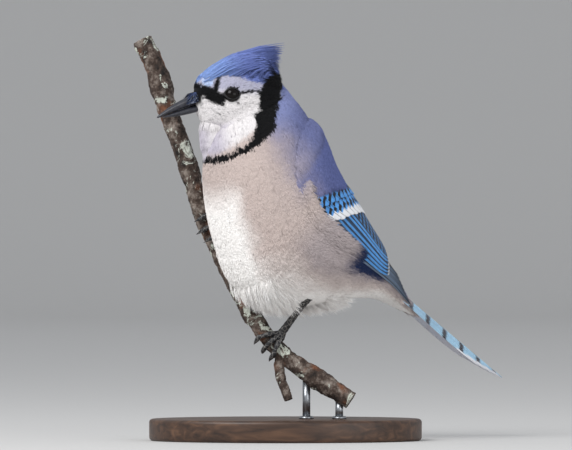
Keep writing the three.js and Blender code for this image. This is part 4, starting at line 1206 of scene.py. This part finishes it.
# %% Eyes and lids
EYE_RADIUS = 4.4
for side, name in ((1, "left"), (-1, "right")):
    centre = in_frame(HEAD, EYE[0], side * EYE[1], EYE[2])
    eye_bm = bmesh.new()
    bmesh.ops.create_uvsphere(eye_bm, u_segments=48, v_segments=32, radius=(EYE_RADIUS - 0.05) * MM)
    bmesh.ops.translate(eye_bm, verts=eye_bm.verts, vec=Vector(centre) * MM)
    eye_mesh = mesh_from(eye_bm, f"eye_{name}_ball")
    add_piece(f"eye_{name}_ball", eye_mesh, eye_gloss, [f"eye_{name}"])
    outward = unit(side * HEAD[1] + 0.1 * HEAD[0])
    ahead = unit(HEAD[0] - outward * (HEAD[0] @ outward))
    above = np.cross(outward, ahead) * side

    def lid_place(around, angle, centre=centre, outward=outward, ahead=ahead, above=above):
        c, s = math.cos(around), math.sin(around)
        corner = abs(c) ** 8
        inner = (3.5 * c * (1 + 0.1 * corner), 2.8 * s - 0.55)
        outer = ((4.2 + 0.7 * corner) * c, 3.65 * s - 0.5)
        lift = math.sqrt(EYE_RADIUS**2 - inner[0] ** 2 - inner[1] ** 2) + 0.1
        near = centre + ahead * inner[0] + above * inner[1] + outward * lift
        far = centre + ahead * outer[0] + above * outer[1] + outward * 2.1
        return (near + far) / 2 + (far - near) / 2 * math.cos(angle) + outward * 0.34 * math.sin(angle)

    lid_bm = bmesh.new()
    hoop = bmesh.ops.create_grid(lid_bm, x_segments=64, y_segments=10, size=1)["verts"]
    for v in hoop:
        v.co = Vector(lid_place((v.co.x + 1) * math.pi, (v.co.y + 1) * math.pi)) * MM
    bmesh.ops.remove_doubles(lid_bm, verts=lid_bm.verts, dist=1e-6)
    bmesh.ops.recalc_face_normals(lid_bm, faces=lid_bm.faces)
    add_piece(f"eyelids_{name}", mesh_from(lid_bm, f"eyelids_{name}"), lid_skin, ())
print("eye", np.round(centre, 1))

# %% [markdown]
# Stiff bristles cover the nostrils and lie forward over the root of the bill.

# %% Nasal bristles
BRISTLES = 520
side_sign = np.where(rng.random(BRISTLES) < 0.5, -1.0, 1.0)
height = rng.uniform(1.6, 6.6, BRISTLES)
out = np.clip(4.9 * np.sqrt(np.clip(1 - ((height - 1.2) / 6.4) ** 2, 0.02, 1)), 0.6, 5)
root = bill_root + bill_way * rng.uniform(-1.8, 0.6, BRISTLES)[:, None] + bill_up * height[:, None]
root = root + HEAD[1] * (side_sign * out)[:, None]
normal = unit(HEAD[1] * (side_sign * out)[:, None] + bill_up * (height - 2.0)[:, None])
inward = HEAD[1] * (0.2 * side_sign)[:, None]
aim = bill_way - bill_up * (0.22 * (height - 2.5))[:, None] - inward
lie = laid_flat(aim, normal, 0.9)
draw = rng.random(BRISTLES)[:, None]
shades = np.where(draw < 0.3, pigment("#46557e"), np.where(draw < 0.4, pigment("#9aa3b5"), BLACK * 1.5))
anywhere = np.stack([rng.random(BRISTLES), rng.random(BRISTLES)], 1)
grow("nasal_bristles", root, normal, lie, shades, anywhere, 7.5, 0.2, barbs=4, fan=10, rise=0.1,
     curve_radius=22, painted_root_shade=0.8, tint=0.2)

# %% [markdown]
# The branch is a swept form with a rough bark: plates and furrows are pushed out of the
# surface by noise, because bump alone would leave its outline smooth. Its side shoot grows
# from under it. A row is a point on its line and the radius there, and a knot is a height,
# how far it stands out and how far it reaches.

# %% Branch
BRANCH = np.array([
    [-79.8, 40, 221.1, 5.9], [-72.1, 38, 205.7, 5.8], [-65.5, 35, 182.6, 5.7], [-56.9, 32, 160.1, 5.5],
    [-51.2, 29, 141.9, 5.2], [-45.1, 25, 121.0, 5.0], [-39.6, 23, 110.0, 4.9], [-35.8, 21, 101.2, 4.8],
    [-31.4, 18, 92.4, 4.8], [-25.9, 13, 81.4, 4.8], [-20.9, 8, 73.2, 4.8], [-16.0, 4, 65.5, 4.8],
    [-9.4, 0, 56.1, 4.9], [0.6, -3, 45.7, 5.0], [9.9, -5, 39.1, 5.1], [19.0, -6, 33.0, 5.2],
    [27.5, -7, 27.5, 5.2], [35.8, -8, 22.0, 5.1],
])
SHOOT = [(-2, -3, 47), (-3.5, -5, 41), (-2.5, -6.5, 34.5), (-0.2, -8, 28), (1.8, -9, 22.5)]
KNOTS = [(196, 1.2, 6), (148, 0.7, 5), (70, 0.9, 5), (34, 1.0, 5)]
HEIGHTS = BRANCH[::-1, 2]


def bark_relief(p):
    """Plates of bark about 3 mm across, with fine cracks along the branch."""
    q = Vector(p)
    plates = noise.noise(q / 3.2)
    fine = noise.noise(q / 0.9) * 0.4
    cracks = abs(noise.noise(Vector((p[0] / 1.4, p[1] / 1.4, p[2] / 5.0))))
    return 0.65 * plates + 0.6 * fine - 0.6 * max(0.0, 0.12 - cracks) / 0.12


def branch_radius(t, angle, centre):
    r = float(np.interp(centre[2], HEIGHTS, BRANCH[::-1, 3]))
    for at, out, reach in KNOTS:
        r += out * math.exp(-(((centre[2] - at) / reach) ** 2))
    turned = np.array([5 * math.cos(angle), 5 * math.sin(angle), 3 * math.sin(angle)])
    spot = centre[:3] + turned
    return r - 0.25 + bark_relief(spot)


def shoot_radius(t, angle, centre):
    spot = centre + np.array([3 * math.cos(angle), 3 * math.sin(angle), 0.0])
    return mix(3.3, 2.5, t) - 0.2 + 0.7 * bark_relief(spot)


branch_bm = bmesh.new()
mapped_ball(branch_bm, 56, 420, swept(BRANCH[:, :3], branch_radius, 56, 420))
mapped_ball(branch_bm, 32, 70, swept(SHOOT, shoot_radius, 32, 70))
print("branch faces", len(branch_bm.faces))

# %% [markdown]
# Bark is dull brown cork, grey where it has weathered, with orange wood where a plate has
# fallen and pale grey lichen in crusts of 4 to 10 mm. It is rough all over, so it gives the
# eye no highlight, only relief and patches.

# %% Bark finish
bark, tree, shader = new_material("weathered_bark_with_lichen", {"Roughness": 0.92})
at = node(tree, "ShaderNodeTexCoord", output="Object")
# Furrows are about 6 mm apart, the crumble is 1.1 mm, lichen 10 mm and bare patches 18 mm.
coarse = node(tree, NOISE, {"Vector": at, "Scale": 160, "Detail": 5, "Roughness": 0.65})
fine = node(tree, NOISE, {"Vector": at, "Scale": 900, "Detail": 4})
crust = node(tree, NOISE, {"Vector": at, "Scale": 95, "Detail": 6, "Roughness": 0.7, "Distortion": 0.6})
fallen = node(tree, NOISE, {"Vector": at, "Scale": 55, "Detail": 3})
bare = node(tree, RAMP, [fallen], stops=[(0.56, "#000000"), (0.64, "#ffffff")])
lichen = node(tree, RAMP, [crust], stops=[(0.56, "#000000"), (0.6, "#ffffff")])
colour = node(tree, RAMP, [coarse], stops=[(0.34, "#15100e"), (0.5, "#463830"), (0.66, "#8d8279")])
for amount, hexed in ((bare, "#6e4630"), (lichen, "#c2c6ba")):
    colour = node(tree, MIX, {SHARE: amount, UNDER: colour, OVER: linear(hexed)}, MIXED, data_type="RGBA")
speckle = node(tree, MATH, [fine, 0.9], operation="MULTIPLY")
speckle = node(tree, MATH, [0.55, speckle], operation="ADD")
colour = node(tree, "ShaderNodeHueSaturation", {"Color": colour, "Value": speckle})
tree.links.new(colour, shader.inputs["Base Color"])
relief = node(tree, MATH, [crust, 1.5], operation="MULTIPLY")
relief = node(tree, MATH, [fine, relief], operation="ADD")
raised = node(tree, BUMP, {"Height": relief, "Strength": 1.0, "Distance": 0.6 * MM})
tree.links.new(raised, shader.inputs["Normal"])
branch_mesh = mesh_from(branch_bm, "perch_branch_bark")
add_piece("perch_branch_bark", branch_mesh, bark, ["perch_branch"])

# %% [markdown]
# Each foot has three toes forward and one back, curled round the branch. Shanks and toes
# wear overlapping horn scutes, which swell the form in even steps. A toe is given by how
# far it slides along the branch, from its root to its tip, how far it curls in radians,
# and whether it goes forward or back.

# %% Legs and feet
TOE_RADIUS = 1.45
TARSUS_RADIUS = 1.5
PAD_RADIUS = 2.15
TOES = ((-0.8, -6.2, 2.5, 1), (0, 0.2, 2.9, 1), (0.8, 6.4, 2.6, 1), (0, 0.6, 1.75, -1))
BRANCH_LINE = spline(BRANCH, np.linspace(0, 1, 1200))


def foot_forms(height, ankle, front_way):
    pick = int(np.abs(BRANCH_LINE[:, 2] - height).argmin())
    centre = BRANCH_LINE[pick, :3]
    axis = unit(BRANCH_LINE[pick + 1, :3] - BRANCH_LINE[pick - 1, :3])
    radius = BRANCH_LINE[pick, 3]
    ankle = np.array(ankle, float)
    up = ankle - centre
    up = unit(up - axis * (up @ axis))
    front = np.array(front_way, float)
    front = front - axis * (front @ axis)
    front = unit(front - up * (front @ up))
    arm = radius + TOE_RADIUS + 0.87

    def on_ring(angle, reach, slide):
        return centre + up * math.cos(angle) * reach + front * math.sin(angle) * reach + axis * slide

    hub = centre + up * (arm + 0.3)
    forms = []
    for start, end, sweep, way in TOES:
        line = []
        for s in np.linspace(0, 1, 9):
            claw_lift = 0.9 * max(0, s - 0.8) / 0.2
            line.append(on_ring(way * sweep * s, arm + claw_lift, mix(start, end, min(1, s * 1.6))))

        def toe_radius(t, angle, spot):
            scute = 1 + 0.05 * (1 - 2 * ((t * 16) % 1))
            pad = 1 + 0.12 * math.cos(t * math.pi * 6)
            if t < 0.78:
                return TOE_RADIUS * pad * scute * mix(1.0, 0.82, t)
            return TOE_RADIUS * 0.8 * max(0.1, 1 - (t - 0.78) / 0.24)

        forms.append((line, toe_radius, 18, 56))
    forms.append(([hub - front * 2.2, hub, hub + front * 2.2], lambda t, angle, spot: PAD_RADIUS, 18, 14))

    def shin_radius(t, angle, spot):
        scute = 1 + 0.045 * (1 - 2 * ((t * 9) % 1))
        return 1.2 * TARSUS_RADIUS * (1 + 0.3 * (1 - t) ** 3 + 0.5 * t**6) * scute

    shin = [mix(hub, ankle, 0.02), mix(hub, ankle, 0.5), ankle]
    return forms, (shin, shin_radius, 24, 60)


FEET = {
    "left": (53.5, (12.4, -16, 79), (-1, -0.6, -0.2)),
    "right": (116, (-17.5, 24, 97), (-0.6, -1, 0.3)),
}
for name, given in FEET.items():
    toes, shin = foot_forms(*given)
    foot_bm = bmesh.new()
    for line, radius_at, around, along in toes:
        mapped_ball(foot_bm, around, along, swept(line, radius_at, around, along))
    foot_mesh = mesh_from(foot_bm, f"foot_{name}_scaled")
    add_piece(f"foot_{name}_scaled", foot_mesh, scaly_horn, [f"foot_{name}"])
    leg_bm = bmesh.new()
    line, radius_at, around, along = shin
    mapped_ball(leg_bm, around, along, swept(line, radius_at, around, along, 0.85))
    leg_mesh = mesh_from(leg_bm, f"leg_{name}_scaled")
    add_piece(f"leg_{name}_scaled", leg_mesh, scaly_horn, [f"leg_{name}"])
print("feet ready")

# %% [markdown]
# The stand is plain: an oval of dark varnished wood with an eased rim, and two steel rods,
# each with a collar at its foot. The varnish gives a soft gloss over grain that runs the
# long way of the base, and the rods keep the fine lines of the die they were drawn through.

# %% Stand finishes
stand_wood, tree, shader = new_material("varnished_dark_wood", {"Roughness": 0.42})
at = node(tree, "ShaderNodeTexCoord", output="Object")
# The grain's lines are about 40 mm long and 3.6 mm apart, coarser than the wood's own.
at = node(tree, "ShaderNodeMapping", {"Vector": at, "Scale": (12, 140, 140)})
grain = node(tree, NOISE, {"Vector": at, "Scale": 2.0, "Detail": 6, "Distortion": 0.8})
colour = node(tree, RAMP, [grain], stops=[(0.3, "#2b1c13"), (0.55, "#4a3324"), (0.75, "#634733")])
tree.links.new(colour, shader.inputs["Base Color"])
raised = node(tree, BUMP, {"Height": grain, "Strength": 0.4, "Distance": 0.1 * MM})
tree.links.new(raised, shader.inputs["Normal"])
rod_steel, tree, shader = new_material("drawn_steel_rod", {"Roughness": 0.3, "Metallic": 1.0})
at = node(tree, "ShaderNodeTexCoord", output="Object")
# The die's lines are about 25 mm long and 0.7 mm apart, coarser than on a real rod.
at = node(tree, "ShaderNodeMapping", {"Vector": at, "Scale": (1500, 1500, 40)})
drawn = node(tree, NOISE, {"Vector": at, "Scale": 1.0, "Detail": 2})
colour = node(tree, RAMP, [drawn], stops=[(0.3, "#84878b"), (0.7, "#a5a8ab")])
tree.links.new(colour, shader.inputs["Base Color"])

# %% Base and rods
BASE_HALF_LENGTH, BASE_HALF_WIDTH, BASE_THICK = 75, 52, 12
ROD_RADIUS = 2.15
RODS = [(11.5, -5, 33.0), (29.5, -7, 22.0)]
base_bm = bmesh.new()
bmesh.ops.create_circle(base_bm, cap_ends=True, segments=128, radius=1)
top = bmesh.ops.extrude_face_region(base_bm, geom=base_bm.faces[:])
raised = [v for v in top["geom"] if isinstance(v, bmesh.types.BMVert)]
bmesh.ops.translate(base_bm, verts=raised, vec=(0, 0, BASE_THICK * MM))
bmesh.ops.scale(base_bm, verts=base_bm.verts, vec=(BASE_HALF_LENGTH * MM, BASE_HALF_WIDTH * MM, 1))
rims = [e for e in base_bm.edges if abs(e.verts[0].co.z - e.verts[1].co.z) < 1e-6]
bmesh.ops.bevel(base_bm, geom=rims, offset=2 * MM, segments=5, profile=0.5, affect="EDGES", material=-1)
bmesh.ops.recalc_face_normals(base_bm, faces=base_bm.faces)
add_piece("stand_base_wood", mesh_from(base_bm, "stand_base_wood"), stand_wood, ["stand_base"])
for number, (x, y, high) in enumerate(RODS, 1):
    name = f"stand_rod_{number}"
    rod_bm = bmesh.new()
    for low, low_radius, up_radius, tall in (
        (BASE_THICK, ROD_RADIUS, ROD_RADIUS, high - BASE_THICK), (BASE_THICK, 4.2, 3.6, 1.6)):
        made = bmesh.ops.create_cone(
            rod_bm, cap_ends=True, segments=40, depth=tall * MM,
            radius1=low_radius * MM, radius2=up_radius * MM)
        bmesh.ops.translate(rod_bm, verts=made["verts"], vec=(x * MM, y * MM, (low + tall / 2) * MM))
    add_piece(f"{name}_steel", mesh_from(rod_bm, f"{name}_steel"), rod_steel, [name])
print("stand ready")

# %% [markdown]
# A pale sweep of card runs under and up behind the model. Two wide soft lights and an even
# sky give the flat light of an overcast day, a little stronger from the upper left. These
# last sizes are in metres.

# %% Floor, lights and sky
SWEEP_NEAR, SWEEP_RUN, SWEEP_HALF_WIDTH = -6.0, 15.0, 7
BEND_START, BEND_RADIUS = 5.4, 1.2
card, _, _ = new_material("matt_pale_card", {"Base Color": linear("#c9c8c6"), "Roughness": 0.9})
sweep_bm = bmesh.new()
bmesh.ops.create_grid(sweep_bm, x_segments=2, y_segments=60, size=1)
for v in sweep_bm.verts:
    run = (v.co.y + 1) / 2 * SWEEP_RUN + SWEEP_NEAR
    bend = max(0.0, run - BEND_START)
    angle = min(math.pi / 2, bend / BEND_RADIUS)
    wall = max(0.0, bend - BEND_RADIUS * math.pi / 2)
    back = min(run, BEND_START) + BEND_RADIUS * math.sin(angle)
    v.co = Vector((v.co.x * SWEEP_HALF_WIDTH, back, BEND_RADIUS * (1 - math.cos(angle)) + wall))
sweep = bpy.data.objects.new("card_sweep", mesh_from(sweep_bm, "card_sweep"))
sweep.data.materials.append(card)
sweep.data.polygons.foreach_set("use_smooth", [True] * len(sweep.data.polygons))
bpy.context.scene.collection.objects.link(sweep)

world = bpy.data.worlds.new("overcast_sky")
world.use_nodes = True
world.node_tree.nodes["Background"].inputs["Color"].default_value = linear("#e6e9ee")
world.node_tree.nodes["Background"].inputs["Strength"].default_value = 0.78
bpy.context.scene.world = world
bpy.context.scene.view_settings.view_transform = "Standard"
LAMPS = (("key_soft", (-0.9, -1.1, 1.3), 1.1, 26), ("fill_soft", (1.0, -1.2, 0.25), 1.2, 8))
for name, spot, size, power in LAMPS:
    lamp_data = bpy.data.lights.new(name, "AREA")
    lamp_data.size = size
    lamp_data.energy = power
    lamp = bpy.data.objects.new(name, lamp_data)
    lamp.location = spot
    aim = Vector((0, 0, 0.12)) - Vector(spot)
    lamp.rotation_euler = aim.to_track_quat("-Z", "Y").to_euler()
    bpy.context.scene.collection.objects.link(lamp)
print("lamps", len(LAMPS))
